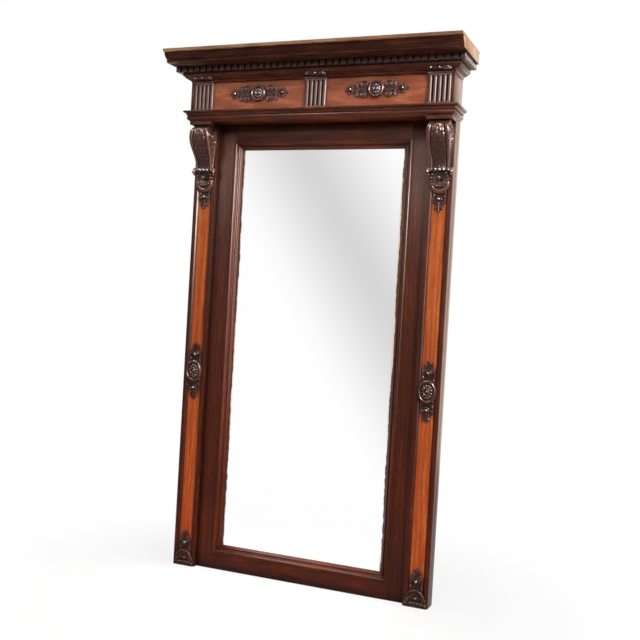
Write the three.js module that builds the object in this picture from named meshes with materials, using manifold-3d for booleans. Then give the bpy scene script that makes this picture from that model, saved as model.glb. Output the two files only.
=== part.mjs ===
// Pier mirror: a tall glass in a dark carved frame with two pilasters, carved corbels and a
// dentilled cornice. It stands on the floor with its back against a wall.
// Millimetres, +Z up. The front faces -Y, and the origin is on the floor under the middle of the
// whole mirror. Inside the group a place is given by x (to the right), the distance in front of
// the wall, and z (the height above the floor).
import * as THREE from "three";
import { mergeVertices } from "three/addons/utils/BufferGeometryUtils.js";
import Module from "manifold-3d";

const wasm = await Module();
wasm.setup();

// ---------- driving dimensions ----------

const HEIGHT = 2150; // floor to the top of the crown
const FRAME_WIDTH = 1128; // across the outer sides of the pilasters
const CLEARANCE = 0.3; // left where one piece rests in, on or against another
const MITRE_GAP = 2 * CLEARANCE; // left at a mitre, measured along the moulding

const STILE = { thickness: 42, face: 68 };
const RAIL = { bottomFace: 65, topFace: 67 };
const TENON = { length: 50, thickness: 14, shoulder: 12 };
const SIGHT = { width: 37, lap: 9, seat: 22, edge: 4 };
const GLASS = { thickness: 5, edgeGap: 3 };
const BACKBOARD = { thickness: 8, rebate: 15 };
const BATTEN_WIDTH = 14;

const PILASTER = { width: 102, coreThickness: 12, stripWidth: 22.7, stripThickness: 10 };
const STRIP_BEVEL = { width: 6, drop: 5.5 };
const PANEL_THICKNESS = 3;

const ARCHITRAVE = { height: 43, projection: 22.5, soffitThickness: 12 };
const FRIEZE = { height: 120, depth: 129, carrierThickness: 12, endThickness: 12 };
const FRIEZE_PANEL_THICKNESS = 5;
const BLOCK = { width: 90, thickness: 17, flutes: 4, fluteWidth: 12.5, flutePitch: 18.7, fluteDepth: 5 };
const BLOCK_CAP = { overhang: 2, projection: 18, drop: 3, rise: 22.5 };
const CAP_STUD = { count: 3, pitch: 34, radius: 5.5, drop: 8.3 };
const BED = { height: 35, projection: 28.4 };
const DENTIL = { height: 22, width: 19.5, gap: 10, tooth: 12, plate: 27, plateProjection: 38 };
const CORNICE_BOARD_THICKNESS = 37;
const TOP_BOARD_THICKNESS = 12;
const CROWN = { depth: 276, endOverhang: 58, setback: 12, foot: 40, thickness: 51 };

// An inset is measured in from the sides of the pilaster, a drop down from the foot of the cap.
const CAP = { height: 26, slab: 12, neckInset: 13, neck: 8, coveStep: 3 };
const CORBEL = { topInset: 8.5, footInset: 14.5, border: 6, sunk: 5, swell: 4, brow: 20 };
const SCROLL = { proud: 9, drop: 40, radius: 26, inset: 5.5, eyeRadius: 9, eyeProud: 3 };
const ROLL = { drop: 170, proud: 12, radius: 9.5 };
const KNOB = { count: 3, radius: 7, pitch: 15.5, sunk: 2 };
const CUP = { inset: 14, height: 57, depth: 21 };
const CRESCENT = { radius: 40, belowRoll: 51, thickness: 8 };

const LEAF = { length: 52, sideGap: 0.8, studRadius: 6, curlRadius: 5.5, curlDrop: 25 };
const BOSS = { height: 833, halfHeight: 46.5, inset: 14, depth: 21, studOffset: 71 };
const DROP = { stud: 20, overlap: 30 };
const FOOT = { base: 22, inset: 5, rollRadius: 5, stud: 99, thickness: 7 };
const FAN = { centre: 32, radius: 38, band: 6, rib: 4, ribs: 5, ribTurn: 30, hubRadius: 9 };
const FRET = { halfLength: 131, halfWidth: 15, thickness: 5.5, rise: 8, studAlong: 107 };
const FRET_RING = { radius: 14, eye: 4.7, along: 51, across: 20, proud: 2 };
const FRET_LOBE = { radius: 8.5, along: 77, across: 18 };
const ROSETTE = { radius: 33, depth: 13 };

// ---------- levels, depths and places that follow from them ----------

const frameHalf = FRAME_WIDTH / 2;
const topBoardBottom = HEIGHT - TOP_BOARD_THICKNESS;
const corniceBottom = topBoardBottom - CORNICE_BOARD_THICKNESS;
const bedTop = corniceBottom - DENTIL.height;
const friezeTop = bedTop - BED.height;
const friezeBottom = friezeTop - FRIEZE.height;
const frameTop = friezeBottom - ARCHITRAVE.height;
const capBottom = frameTop - CAP.height;
const rollHeight = capBottom - ROLL.drop;
const crescentHeight = rollHeight - CRESCENT.belowRoll;
const corbelBottom = crescentHeight - CRESCENT.radius;

const coreFront = STILE.thickness + PILASTER.coreThickness;
const stripFront = coreFront + PILASTER.stripThickness;
const panelFront = coreFront + PANEL_THICKNESS;
const pilasterHalf = PILASTER.width / 2;
const pilasterX = frameHalf - pilasterHalf;
const recessHalf = pilasterHalf - PILASTER.stripWidth;

const sightHalf = frameHalf - PILASTER.width - STILE.face - SIGHT.width;
const sightBottom = RAIL.bottomFace + SIGHT.width;
const sightTop = frameTop - RAIL.topFace - SIGHT.width;
const innerEdge = SIGHT.width - SIGHT.lap; // from the sight edge out to the inner edge of the frame
const openHalf = sightHalf + innerEdge;
const openBottom = sightBottom - innerEdge;
const openTop = sightTop + innerEdge;

const carrierFront = FRIEZE.depth - BLOCK.thickness;
const carrierBack = carrierFront - FRIEZE.carrierThickness;
const endInner = frameHalf - FRIEZE.endThickness;
const endBlockX = endInner - BLOCK.width / 2;
const friezePanelX = endBlockX / 2;
const friezePanelFront = carrierFront + FRIEZE_PANEL_THICKNESS;

// ---------- materials ----------

function wood(color, roughness) {
  return new THREE.MeshStandardMaterial({ color, roughness, metalness: 0 });
}
const darkWood = wood(0x43231a, 0.35);
const figuredPanel = wood(0xb4602f, 0.38);
const friezeVeneer = wood(0x9c5233, 0.36);
const rawWood = wood(0xc19a72, 0.75);
const backWood = wood(0x9a7a55, 0.85);
const mirror = new THREE.MeshStandardMaterial({ color: 0xdfe2e4, roughness: 0.04, metalness: 1 });

// ---------- making solids ----------

const CURVE_STEPS = 5;

// Each frame of axes takes an outline's two axes and the direction of its extrusion to the group.
const RIGHT = new THREE.Vector3(1, 0, 0);
const FORWARD = new THREE.Vector3(0, -1, 0);
const UP = new THREE.Vector3(0, 0, 1);
const DOWN = new THREE.Vector3(0, 0, -1);

function signedVolume(geometry) {
  const place = geometry.attributes.position;
  const index = geometry.index;
  const [a, b, c] = [new THREE.Vector3(), new THREE.Vector3(), new THREE.Vector3()];
  let sum = 0;
  for (let i = 0; i < index.count; i += 3) {
    a.fromBufferAttribute(place, index.getX(i));
    b.fromBufferAttribute(place, index.getX(i + 1));
    c.fromBufferAttribute(place, index.getX(i + 2));
    sum += a.dot(b.cross(c));
  }
  return sum / 6;
}

// Shared vertices merged, empty triangles dropped and all faces pointing out.
function closed(source) {
  const bare = new THREE.BufferGeometry();
  bare.setAttribute("position", source.attributes.position);
  bare.setIndex(source.index);
  const geometry = mergeVertices(bare, 1e-4);
  const corners = Array.from(geometry.index.array);
  const outward = signedVolume(geometry) > 0;
  const kept = [];
  for (let i = 0; i < corners.length; i += 3) {
    const [a, b, c] = corners.slice(i, i + 3);
    if (a !== b && b !== c && c !== a) kept.push(...(outward ? [a, b, c] : [a, c, b]));
  }
  geometry.setIndex(kept);
  return geometry;
}

// An outline extruded from startAt to endAt, which may be numbers or, for a mitred or shaped end,
// functions of the outline's two coordinates.
function extrude(shape, axes, startAt, endAt, curveSegments = CURVE_STEPS) {
  const geometry = new THREE.ExtrudeGeometry(shape, { depth: 1, bevelEnabled: false, curveSegments });
  const place = geometry.attributes.position;
  for (let i = 0; i < place.count; i++) {
    const limit = place.getZ(i) > 0.5 ? endAt : startAt;
    const along = typeof limit === "function" ? limit(place.getX(i), place.getY(i)) : limit;
    place.setZ(i, along);
  }
  geometry.applyMatrix4(new THREE.Matrix4().makeBasis(...axes));
  return closed(geometry);
}

// Outlines drawn as (out, z), as (x, z) and as (x, out).
const extrudeAcross = (shape, x0, x1) => extrude(shape, [FORWARD, UP, RIGHT], x0, x1);
const extrudeForward = (shape, back, front, curveSegments) =>
  extrude(shape, [RIGHT, UP, FORWARD], back, front, curveSegments);
const extrudeUp = (shape, z0, z1, curveSegments) =>
  extrude(shape, [RIGHT, FORWARD, UP], z0, z1, curveSegments);

function box(x0, x1, back, front, z0, z1) {
  const geometry = new THREE.BoxGeometry(x1 - x0, front - back, z1 - z0);
  geometry.translate((x0 + x1) / 2, -(back + front) / 2, (z0 + z1) / 2);
  return closed(geometry);
}

// A skin over a stack of level outlines with equally many points, each { z, points: [[x, out]] }.
function loft(levels) {
  const count = levels[0].points.length;
  const vertices = [];
  for (const level of levels) {
    for (const [x, out] of level.points) vertices.push(x, -out, level.z);
  }
  const faces = [];
  for (let k = 0; k + 1 < levels.length; k++) {
    for (let i = 0; i < count; i++) {
      const j = (i + 1) % count;
      const [a, b] = [k * count + i, k * count + j];
      faces.push(a, b, b + count, a, b + count, a + count);
    }
  }
  const lid = (k, flip) => {
    const outline = levels[k].points.map(([x, out]) => new THREE.Vector2(x, out));
    for (const [a, b, c] of THREE.ShapeUtils.triangulateShape(outline, [])) {
      faces.push(...(flip ? [a, c, b] : [a, b, c]).map((corner) => k * count + corner));
    }
  };
  // The caps run against the walls' winding, whichever way round the outline is listed.
  const turnsLeft = THREE.ShapeUtils.area(levels[0].points.map(([x, out]) => new THREE.Vector2(x, out))) > 0;
  lid(0, turnsLeft);
  lid(levels.length - 1, !turnsLeft);
  const geometry = new THREE.BufferGeometry();
  geometry.setAttribute("position", new THREE.Float32BufferAttribute(vertices, 3));
  geometry.setIndex(faces);
  return closed(geometry);
}

// A turned form on an axis that points forward, from a profile of [radius, distance out].
function turned(profile, x, z, back, segments) {
  const points = profile.map(([radius, out]) => new THREE.Vector2(radius, out));
  const geometry = new THREE.LatheGeometry(points, segments);
  geometry.rotateX(Math.PI);
  geometry.translate(x, -back, z);
  return closed(geometry);
}

function ball(x, out, z, radius, around = 10, down = 6) {
  const geometry = new THREE.SphereGeometry(radius, around, down);
  geometry.translate(x, -out, z);
  return closed(geometry);
}

function rod(x0, x1, out, z, radius, segments) {
  const geometry = new THREE.CylinderGeometry(radius, radius, x1 - x0, segments);
  geometry.rotateZ(Math.PI / 2);
  geometry.translate((x0 + x1) / 2, -out, z);
  return closed(geometry);
}

function toManifold(geometry) {
  return new wasm.Manifold(
    new wasm.Mesh({
      numProp: 3,
      vertProperties: new Float32Array(geometry.attributes.position.array),
      triVerts: new Uint32Array(geometry.index.array),
    }),
  );
}

function fromManifold(solid) {
  const mesh = solid.getMesh();
  const geometry = new THREE.BufferGeometry();
  geometry.setAttribute("position", new THREE.BufferAttribute(mesh.vertProperties, 3));
  geometry.setIndex(new THREE.BufferAttribute(mesh.triVerts, 1));
  return geometry;
}

const joined = (pieces) =>
  fromManifold(pieces.map(toManifold).reduce((whole, piece) => whole.add(piece)));
const cut = (body, ...tools) =>
  fromManifold(tools.map(toManifold).reduce((rest, tool) => rest.subtract(tool), toManifold(body)));

function polygon(points) {
  return new THREE.Shape(points.map(([a, b]) => new THREE.Vector2(a, b)));
}

// An outline from the points of its right side, listed from the top to the foot, and their
// mirror image.
function twoSided(side) {
  const other = side
    .filter((point) => point.x > 0)
    .map((point) => new THREE.Vector2(-point.x, point.y));
  return new THREE.Shape([...side, ...other.reverse()]);
}

// The same piece for the left side: mirrored across the middle of the mirror.
function mirrored(geometry) {
  const copy = geometry.clone();
  copy.scale(-1, 1, 1);
  return closed(copy);
}

// ---------- the assembly ----------

const pierMirror = new THREE.Group();
pierMirror.name = "pier_mirror";
pierMirror.position.y = CROWN.depth / 2;

function place(name, geometry, material) {
  const flat = geometry.index ? geometry.toNonIndexed() : geometry;
  flat.computeVertexNormals();
  const mesh = new THREE.Mesh(flat, material);
  mesh.name = name;
  pierMirror.add(mesh);
}

// A piece of the right side and its twin on the left.
function placePair(name, geometry, material) {
  place(`${name}_right`, geometry, material);
  place(`${name}_left`, mirrored(geometry), material);
}

// ---------- frame: two stiles and two rails, tenoned together and rebated for the backboards ----------

function mortiseFor(z0, z1) {
  return box(
    openHalf - CLEARANCE,
    openHalf + TENON.length + CLEARANCE,
    TENON.thickness - CLEARANCE,
    2 * TENON.thickness + CLEARANCE,
    z0 + TENON.shoulder - CLEARANCE,
    z1 - TENON.shoulder + CLEARANCE,
  );
}

function addFrame() {
  const rebateFloor = BACKBOARD.thickness + CLEARANCE;
  const stile = extrudeUp(
    polygon([
      [openHalf, rebateFloor],
      [openHalf + BACKBOARD.rebate, rebateFloor],
      [openHalf + BACKBOARD.rebate, 0],
      [frameHalf, 0],
      [frameHalf, STILE.thickness],
      [openHalf, STILE.thickness],
    ]),
    0,
    frameTop,
  );
  placePair("stile", cut(stile, mortiseFor(0, openBottom), mortiseFor(openTop, frameTop)), darkWood);

  const rail = (outer, inner) => {
    const rebateEdge = inner + Math.sign(outer - inner) * BACKBOARD.rebate;
    const half = openHalf - CLEARANCE;
    const board = extrudeAcross(
      polygon([
        [0, outer],
        [STILE.thickness, outer],
        [STILE.thickness, inner],
        [rebateFloor, inner],
        [rebateFloor, rebateEdge],
        [0, rebateEdge],
      ]),
      -half,
      half,
    );
    const [low, high] = [Math.min(outer, inner), Math.max(outer, inner)];
    const reach = openHalf + TENON.length;
    const tenon = box(
      -reach,
      reach,
      TENON.thickness,
      2 * TENON.thickness,
      low + TENON.shoulder,
      high - TENON.shoulder,
    );
    return joined([board, tenon]);
  };
  place("rail_bottom", rail(0, openBottom), darkWood);
  place("rail_top", rail(frameTop, openTop), darkWood);
}

// ---------- glass, its battens and the backboards behind it ----------

function addGlassAndBack() {
  const glassFront = SIGHT.seat - CLEARANCE;
  const glassBack = glassFront - GLASS.thickness;
  const half = openHalf - GLASS.edgeGap;
  place(
    "mirror_glass",
    box(-half, half, glassBack, glassFront, openBottom + GLASS.edgeGap, openTop - GLASS.edgeGap),
    mirror,
  );

  const battenBack = BACKBOARD.thickness + CLEARANCE;
  const battenFront = glassBack - CLEARANCE;
  const outer = openHalf - CLEARANCE;
  const inner = outer - BATTEN_WIDTH;
  const [low, high] = [openBottom + CLEARANCE, openTop - CLEARANCE];
  placePair("glass_batten", box(inner, outer, battenBack, battenFront, low, high), backWood);
  const run = inner - CLEARANCE;
  place("glass_batten_bottom", box(-run, run, battenBack, battenFront, low, low + BATTEN_WIDTH), backWood);
  place("glass_batten_top", box(-run, run, battenBack, battenFront, high - BATTEN_WIDTH, high), backWood);

  const boardHalf = openHalf + BACKBOARD.rebate - CLEARANCE;
  const boardBottom = openBottom - BACKBOARD.rebate + CLEARANCE;
  const boardTop = openTop + BACKBOARD.rebate - CLEARANCE;
  const seam = (boardBottom + boardTop) / 2;
  const board = (z0, z1) => box(-boardHalf, boardHalf, 0, BACKBOARD.thickness, z0, z1);
  place("backboard_lower", board(boardBottom, seam - CLEARANCE / 2), backWood);
  place("backboard_upper", board(seam + CLEARANCE / 2, boardTop), backWood);
}

// ---------- sight moulding: thin edge, small inner bead, cove, broad outer bead, lap ----------

// Drawn as (distance out from the sight edge, distance in front of the wall), from the glass
// outwards: seat, tongue inside the frame, lap on its face, broad bead, cove, small bead, edge.
function sightProfile() {
  const face = STILE.thickness + CLEARANCE;
  const { width, seat, edge } = SIGHT;
  const shape = new THREE.Shape();
  shape.moveTo(0, seat);
  shape.lineTo(innerEdge - CLEARANCE, seat);
  shape.lineTo(innerEdge - CLEARANCE, face);
  shape.lineTo(width, face);
  shape.lineTo(width, face + 1.5);
  shape.lineTo(width - 3, face + 1.5);
  shape.absarc(width - 11, face - 1, 7.5, 0.33, Math.PI, false);
  shape.quadraticCurveTo(width - 20, seat + 12, width - 24, seat + 11);
  shape.absarc(width - 28, seat + 9, 3.5, 0.5, Math.PI, false);
  shape.lineTo(0, seat + edge);
  return shape;
}

function addSightMouldings() {
  const beadSteps = 2 * CURVE_STEPS;
  const side = extrudeUp(
    sightProfile(),
    (out) => sightBottom - out + MITRE_GAP,
    (out) => sightTop + out - MITRE_GAP,
    beadSteps,
  );
  side.translate(sightHalf, 0, 0);
  placePair("sight_moulding", side, darkWood);
  const ends = [(out) => -sightHalf - out, (out) => sightHalf + out];
  const bottom = extrude(sightProfile(), [DOWN, FORWARD, RIGHT], ...ends, beadSteps);
  bottom.translate(0, 0, sightBottom);
  place("sight_moulding_bottom", bottom, darkWood);
  const top = extrude(sightProfile(), [UP, FORWARD, RIGHT], ...ends, beadSteps);
  top.translate(0, 0, sightTop);
  place("sight_moulding_top", top, darkWood);
}

// ---------- pilasters: core board, light wood panel and two bevelled edge strips ----------

function addPilasters() {
  const inner = frameHalf - PILASTER.width;
  placePair("pilaster_core", box(inner, frameHalf, STILE.thickness, coreFront, 0, frameTop), darkWood);
  const panelHalf = recessHalf - CLEARANCE;
  placePair(
    "pilaster_panel",
    box(pilasterX - panelHalf, pilasterX + panelHalf, coreFront, panelFront, 0, frameTop),
    figuredPanel,
  );
  // Drawn from the panel's side outwards; the bevel looks towards the panel.
  const strip = (edge, direction) =>
    extrudeUp(
      polygon([
        [edge, coreFront],
        [edge, stripFront - STRIP_BEVEL.drop],
        [edge - direction * STRIP_BEVEL.width, stripFront],
        [edge - direction * PILASTER.stripWidth, stripFront],
        [edge - direction * PILASTER.stripWidth, coreFront],
      ]),
      0,
      frameTop,
    );
  placePair("pilaster_strip_inner", strip(pilasterX - recessHalf, 1), darkWood);
  placePair("pilaster_strip_outer", strip(pilasterX + recessHalf, -1), darkWood);
}

// ---------- strapwork: a ball stud on a strap that ends in a pointed leaf ----------

// Pieces of one strap end of a pilaster, with the stud at height z and the leaf pointing up (1)
// or down (-1); the strap runs past the stud by its tail.
function strapEnd(z, pointing, tail, back, front) {
  const half = recessHalf - LEAF.sideGap;
  const tip = LEAF.length;
  const side = new THREE.Path();
  side.moveTo(0, tip);
  side.quadraticCurveTo(half * 0.1, tip - 9, half * 0.33, tip - 13);
  side.quadraticCurveTo(half * 0.47, tip - 18, half * 0.29, tip - 24);
  side.quadraticCurveTo(half * 0.73, tip - 30, half * 0.8, tip - 42);
  side.quadraticCurveTo(half, tip - 46, half, 0);
  side.lineTo(half, -tail);
  const plate = extrudeForward(twoSided(side.getPoints(3)), back, front);
  if (pointing < 0) plate.scale(1, 1, -1);
  plate.translate(pilasterX, 0, z);
  const pieces = [closed(plate), ball(pilasterX, front, z, LEAF.studRadius)];
  for (const sideOf of [-1, 1]) {
    const curlX = pilasterX + sideOf * half * 0.55;
    const curlZ = z + pointing * (tip - LEAF.curlDrop);
    pieces.push(disc(curlX, curlZ, LEAF.curlRadius, back, front, 10));
  }
  return pieces;
}

function disc(x, z, radius, back, front, segments) {
  const thickness = front - back;
  return turned([[0, 0], [radius, 0], [radius, thickness], [0, thickness]], x, z, back, segments);
}

// ---------- ornaments of the pilasters ----------

const ornamentBack = panelFront + CLEARANCE;
const ornamentFront = stripFront - CLEARANCE;
const appliedBack = stripFront + CLEARANCE;

// Oval boss of rings round a button, on a strapwork plaque that lies in the panel's recess.
// The profile runs from the rim over an outer ring, a hollow and an inner ring to the button.
function addBosses() {
  const { height, halfHeight, inset, depth, studOffset } = BOSS;
  const rings = [
    [0, 0],
    [halfHeight, 0],
    [halfHeight, 4],
    [halfHeight - 3.5, 8.5],
    [halfHeight - 8, 6],
    [halfHeight - 13, 5],
    [halfHeight - 18, 11],
    [halfHeight - 24, 12],
    [halfHeight - 28, 9],
    [halfHeight - 33, 17],
    [halfHeight - 37, 17],
    [halfHeight - 40, depth - 5],
    [halfHeight - 43, depth],
    [0, depth],
  ];
  const boss = turned(rings, 0, 0, 0, 28);
  boss.scale((pilasterHalf - inset) / halfHeight, 1, 1);
  boss.translate(pilasterX, -appliedBack, height);
  placePair("boss", boss, darkWood);
  placePair(
    "boss_plaque",
    joined([
      ...strapEnd(height + studOffset, 1, studOffset, ornamentBack, ornamentFront),
      ...strapEnd(height - studOffset, -1, studOffset, ornamentBack, ornamentFront),
    ]),
    darkWood,
  );
}

// Leaf drop under the corbel.
function addDrops() {
  const studHeight = corbelBottom - DROP.stud;
  placePair(
    "drop",
    joined(strapEnd(studHeight, -1, DROP.overlap, ornamentBack, ornamentFront)),
    darkWood,
  );
}

// Half round fan under an arched band: a plate, ribs spread round a hub, and the band.
function fanPieces(front) {
  const { centre, radius, band, rib, ribs, ribTurn, hubRadius } = FAN;
  const inner = radius - band;
  const arch = new THREE.Shape();
  arch.absarc(0, 0, radius, 0, Math.PI, false);
  arch.absarc(0, 0, inner, Math.PI, 0, true);
  const field = new THREE.Shape();
  field.absarc(0, 0, inner + band / 4, 0, Math.PI, false);
  const pieces = [
    extrudeForward(arch, appliedBack, front + 3, 14),
    extrudeForward(field, appliedBack, front - 2, 12),
    ball(0, front - 3, 0, hubRadius, 12, 8),
  ];
  for (let i = 0; i < ribs; i++) {
    const ray = box(-rib / 2, rib / 2, appliedBack, front + 1, hubRadius - 3, inner + band / 2);
    ray.rotateY(THREE.MathUtils.degToRad((i - (ribs - 1) / 2) * ribTurn));
    pieces.push(ray);
  }
  for (const piece of pieces) piece.translate(pilasterX, 0, centre);
  return pieces;
}

// The fan stands on a plinth with a roll along it, and a strap end rises behind it.
function addFeet() {
  const { base, inset, rollRadius, stud, thickness } = FOOT;
  const front = appliedBack + thickness;
  const acrossPilaster = (half, back, z0, z1) =>
    box(pilasterX - half, pilasterX + half, back, front, z0, z1);
  const half = pilasterHalf - inset;
  const plinth = acrossPilaster(half, appliedBack, 0, base);
  const ledge = acrossPilaster(FAN.radius, appliedBack, base - 1, FAN.centre + 1);
  const rootTop = FAN.centre + FAN.radius / 2;
  const root = acrossPilaster(recessHalf - LEAF.sideGap, ornamentBack, FAN.centre, rootTop);
  const roll = rod(pilasterX - half, pilasterX + half, front, base - rollRadius - 2, rollRadius, 10);
  const strap = strapEnd(stud, 1, stud - FAN.centre, ornamentBack, ornamentFront);
  placePair("foot_ornament", joined([...fanPieces(front), plinth, ledge, roll, root, ...strap]), darkWood);
}

// ---------- corbels and the caps above them ----------

// Moulded slab over a neck that is inset on its three free sides.
function addCaps() {
  const { height, slab, neckInset, neck, coveStep } = CAP;
  const level = (z, inset) => {
    const half = pilasterHalf - inset;
    const front = FRIEZE.depth - inset;
    return {
      z: capBottom + z,
      points: [
        [pilasterX - half, appliedBack],
        [pilasterX + half, appliedBack],
        [pilasterX + half, front],
        [pilasterX - half, front],
      ],
    };
  };
  const coveTop = height - slab;
  const levels = [level(0, neckInset), level(neck, neckInset)];
  const coveSteps = 4;
  for (let i = 1; i <= coveSteps; i++) {
    const turn = (i / coveSteps) * (Math.PI / 2);
    const rise = (coveTop - neck) * Math.sin(turn);
    levels.push(level(neck + rise, coveStep + (neckInset - coveStep) * Math.cos(turn)));
  }
  levels.push(level(coveTop, 0), level(height, 0));
  placePair("pilaster_cap", loft(levels), darkWood);
}

// Console with an S-shaped front: raised borders on both edges and a sunk, swelling field.
function corbelShaft(scrollFront, rollOut) {
  const section = (drop, out, halfWidth) => {
    const { border, sunk, swell } = CORBEL;
    const field = halfWidth - border;
    return {
      z: capBottom - drop,
      points: [
        [pilasterX - halfWidth, appliedBack],
        [pilasterX + halfWidth, appliedBack],
        [pilasterX + halfWidth, out],
        [pilasterX + field, out],
        [pilasterX + field, out - sunk],
        [pilasterX, out - sunk + swell],
        [pilasterX - field, out - sunk],
        [pilasterX - field, out],
        [pilasterX - halfWidth, out],
      ],
    };
  };
  const { brow, topInset, footInset } = CORBEL;
  const levels = [];
  const browSteps = 4;
  for (let i = 0; i <= browSteps; i++) {
    const turn = (i / browSteps) * (Math.PI / 2);
    const out = scrollFront - brow * (1 - Math.sin(turn));
    levels.push(section(brow * (1 - Math.cos(turn)), out, pilasterHalf - topInset));
  }
  // The front falls from the scroll at the top to the roll at the foot in one S.
  const fall = ROLL.drop - SCROLL.drop;
  const front = new THREE.CubicBezierCurve(
    new THREE.Vector2(scrollFront, SCROLL.drop),
    new THREE.Vector2(scrollFront, SCROLL.drop + fall * 0.35),
    new THREE.Vector2(rollOut + 4, ROLL.drop - fall * 0.48),
    new THREE.Vector2(rollOut + 2, ROLL.drop - 2),
  );
  const steps = 10;
  for (let i = 0; i <= steps; i++) {
    const { x: out, y: drop } = front.getPoint(i / steps);
    const inset = THREE.MathUtils.lerp(topInset, footInset, (drop - SCROLL.drop) / fall);
    levels.push(section(drop, out, pilasterHalf - inset));
  }
  return loft(levels.reverse());
}

// Lower half of a flattened egg, cut off at the roll and at the face of the strips.
function corbelCup() {
  const half = pilasterHalf - CUP.inset;
  const cup = new THREE.SphereGeometry(1, 20, 12);
  cup.scale(half, CUP.depth, CUP.height);
  cup.translate(pilasterX, -appliedBack, rollHeight);
  const [left, right] = [pilasterX - half - 1, pilasterX + half + 1];
  const above = box(left, right, 0, appliedBack + CUP.depth + 1, rollHeight, rollHeight + CUP.height + 1);
  const behind = box(left, right, 0, appliedBack, rollHeight - CUP.height - 1, rollHeight + 1);
  return cut(closed(cup), above, behind);
}

// Half round plate behind the foot of the cup.
function corbelCrescent() {
  const outline = new THREE.Shape();
  outline.absarc(0, 0, CRESCENT.radius, Math.PI, 2 * Math.PI, false);
  const plate = extrudeForward(outline, appliedBack, appliedBack + CRESCENT.thickness, 16);
  plate.translate(pilasterX, 0, crescentHeight);
  return plate;
}

function addCorbels() {
  const scrollFront = FRIEZE.depth + SCROLL.proud;
  const rollOut = stripFront + ROLL.proud;
  const across = (half, out, z, radius, segments) =>
    rod(pilasterX - half, pilasterX + half, out, z, radius, segments);
  const scrollHalf = pilasterHalf - SCROLL.inset;
  const [scrollOut, scrollZ] = [scrollFront - SCROLL.radius, capBottom - SCROLL.drop];
  const pieces = [
    corbelShaft(scrollFront, rollOut),
    across(scrollHalf, scrollOut, scrollZ, SCROLL.radius, 24),
    across(scrollHalf + SCROLL.eyeProud, scrollOut, scrollZ, SCROLL.eyeRadius, 12),
    across(pilasterHalf, rollOut, rollHeight, ROLL.radius, 14),
    corbelCup(),
    corbelCrescent(),
  ];
  for (let i = 0; i < KNOB.count; i++) {
    const x = pilasterX + (i - (KNOB.count - 1) / 2) * KNOB.pitch;
    pieces.push(ball(x, rollOut + ROLL.radius - KNOB.sunk, rollHeight, KNOB.radius));
  }
  placePair("corbel", joined(pieces), darkWood);
}

// ---------- entablature mouldings, each with a front length and two mitred returns ----------

// Drawn as (distance out from the face of the frieze, height above the moulding's foot): a
// convex band, a fillet, a cove and a top fillet.
function architraveProfile(back) {
  const { height, projection } = ARCHITRAVE;
  const shape = new THREE.Shape();
  shape.moveTo(back, 0);
  shape.lineTo(0, 0);
  shape.quadraticCurveTo(1.5, 5, 7, 6.5);
  shape.quadraticCurveTo(projection - 9.5, 13.5, 8.5, 21.5);
  shape.lineTo(7, 22);
  shape.lineTo(7, 24);
  shape.lineTo(11.5, 24);
  shape.lineTo(11.5, 28);
  shape.quadraticCurveTo(12.5, 33, 17, 34);
  shape.quadraticCurveTo(projection - 2, 34.5, projection - 1.5, height - 6);
  shape.lineTo(projection, height - 6);
  shape.lineTo(projection, height);
  shape.lineTo(back, height);
  return shape;
}

// A cove, a fillet, an ovolo and a top fillet; grown outwards and down by a gap where wanted.
function bedProfile(back, gap = 0) {
  const { height, projection } = BED;
  const shape = new THREE.Shape();
  shape.moveTo(back, -gap);
  shape.lineTo(1 + gap, -gap);
  shape.quadraticCurveTo(2 + gap, 8.5 - gap, 11 + gap, 10.5 - gap);
  shape.lineTo(12.5 + gap, 10.5 - gap);
  shape.lineTo(12.5 + gap, 13 - gap);
  shape.quadraticCurveTo(21 + gap, 13.5 - gap, projection - 4 + gap, 22 - gap);
  shape.lineTo(projection + gap, 23 - gap);
  shape.lineTo(projection + gap, height);
  shape.lineTo(back, height);
  return shape;
}

function addMouldingSet(name, profile, foot) {
  const face = FRIEZE.depth;
  const front = extrudeAcross(
    profile(-BLOCK.thickness),
    (out) => -frameHalf - out,
    (out) => frameHalf + out,
  );
  front.translate(0, -face, foot);
  place(`${name}_front`, front, darkWood);
  const side = extrudeForward(profile(-FRIEZE.endThickness), 0, (out) => face + out - MITRE_GAP);
  side.translate(frameHalf, 0, foot);
  placePair(`${name}_return`, side, darkWood);
}

// ---------- frieze: soffit, carrier, ends, veneered panels and fluted blocks ----------

function addFrieze() {
  const soffitTop = frameTop + ARCHITRAVE.soffitThickness;
  place("soffit_board", box(-endInner, endInner, 0, carrierFront, frameTop, soffitTop), darkWood);
  place(
    "frieze_carrier",
    box(-endInner, endInner, carrierBack, carrierFront, soffitTop, corniceBottom),
    backWood,
  );
  placePair("frieze_end", box(endInner, frameHalf, 0, FRIEZE.depth, friezeBottom, friezeTop), darkWood);
  placePair(
    "frieze_panel",
    box(
      BLOCK.width / 2,
      endInner - BLOCK.width,
      carrierFront,
      friezePanelFront,
      friezeBottom,
      friezeTop,
    ),
    friezeVeneer,
  );
  place("fluted_block_centre", flutedBlock(0), darkWood);
  placePair("fluted_block", flutedBlock(endBlockX), darkWood);
}

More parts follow.
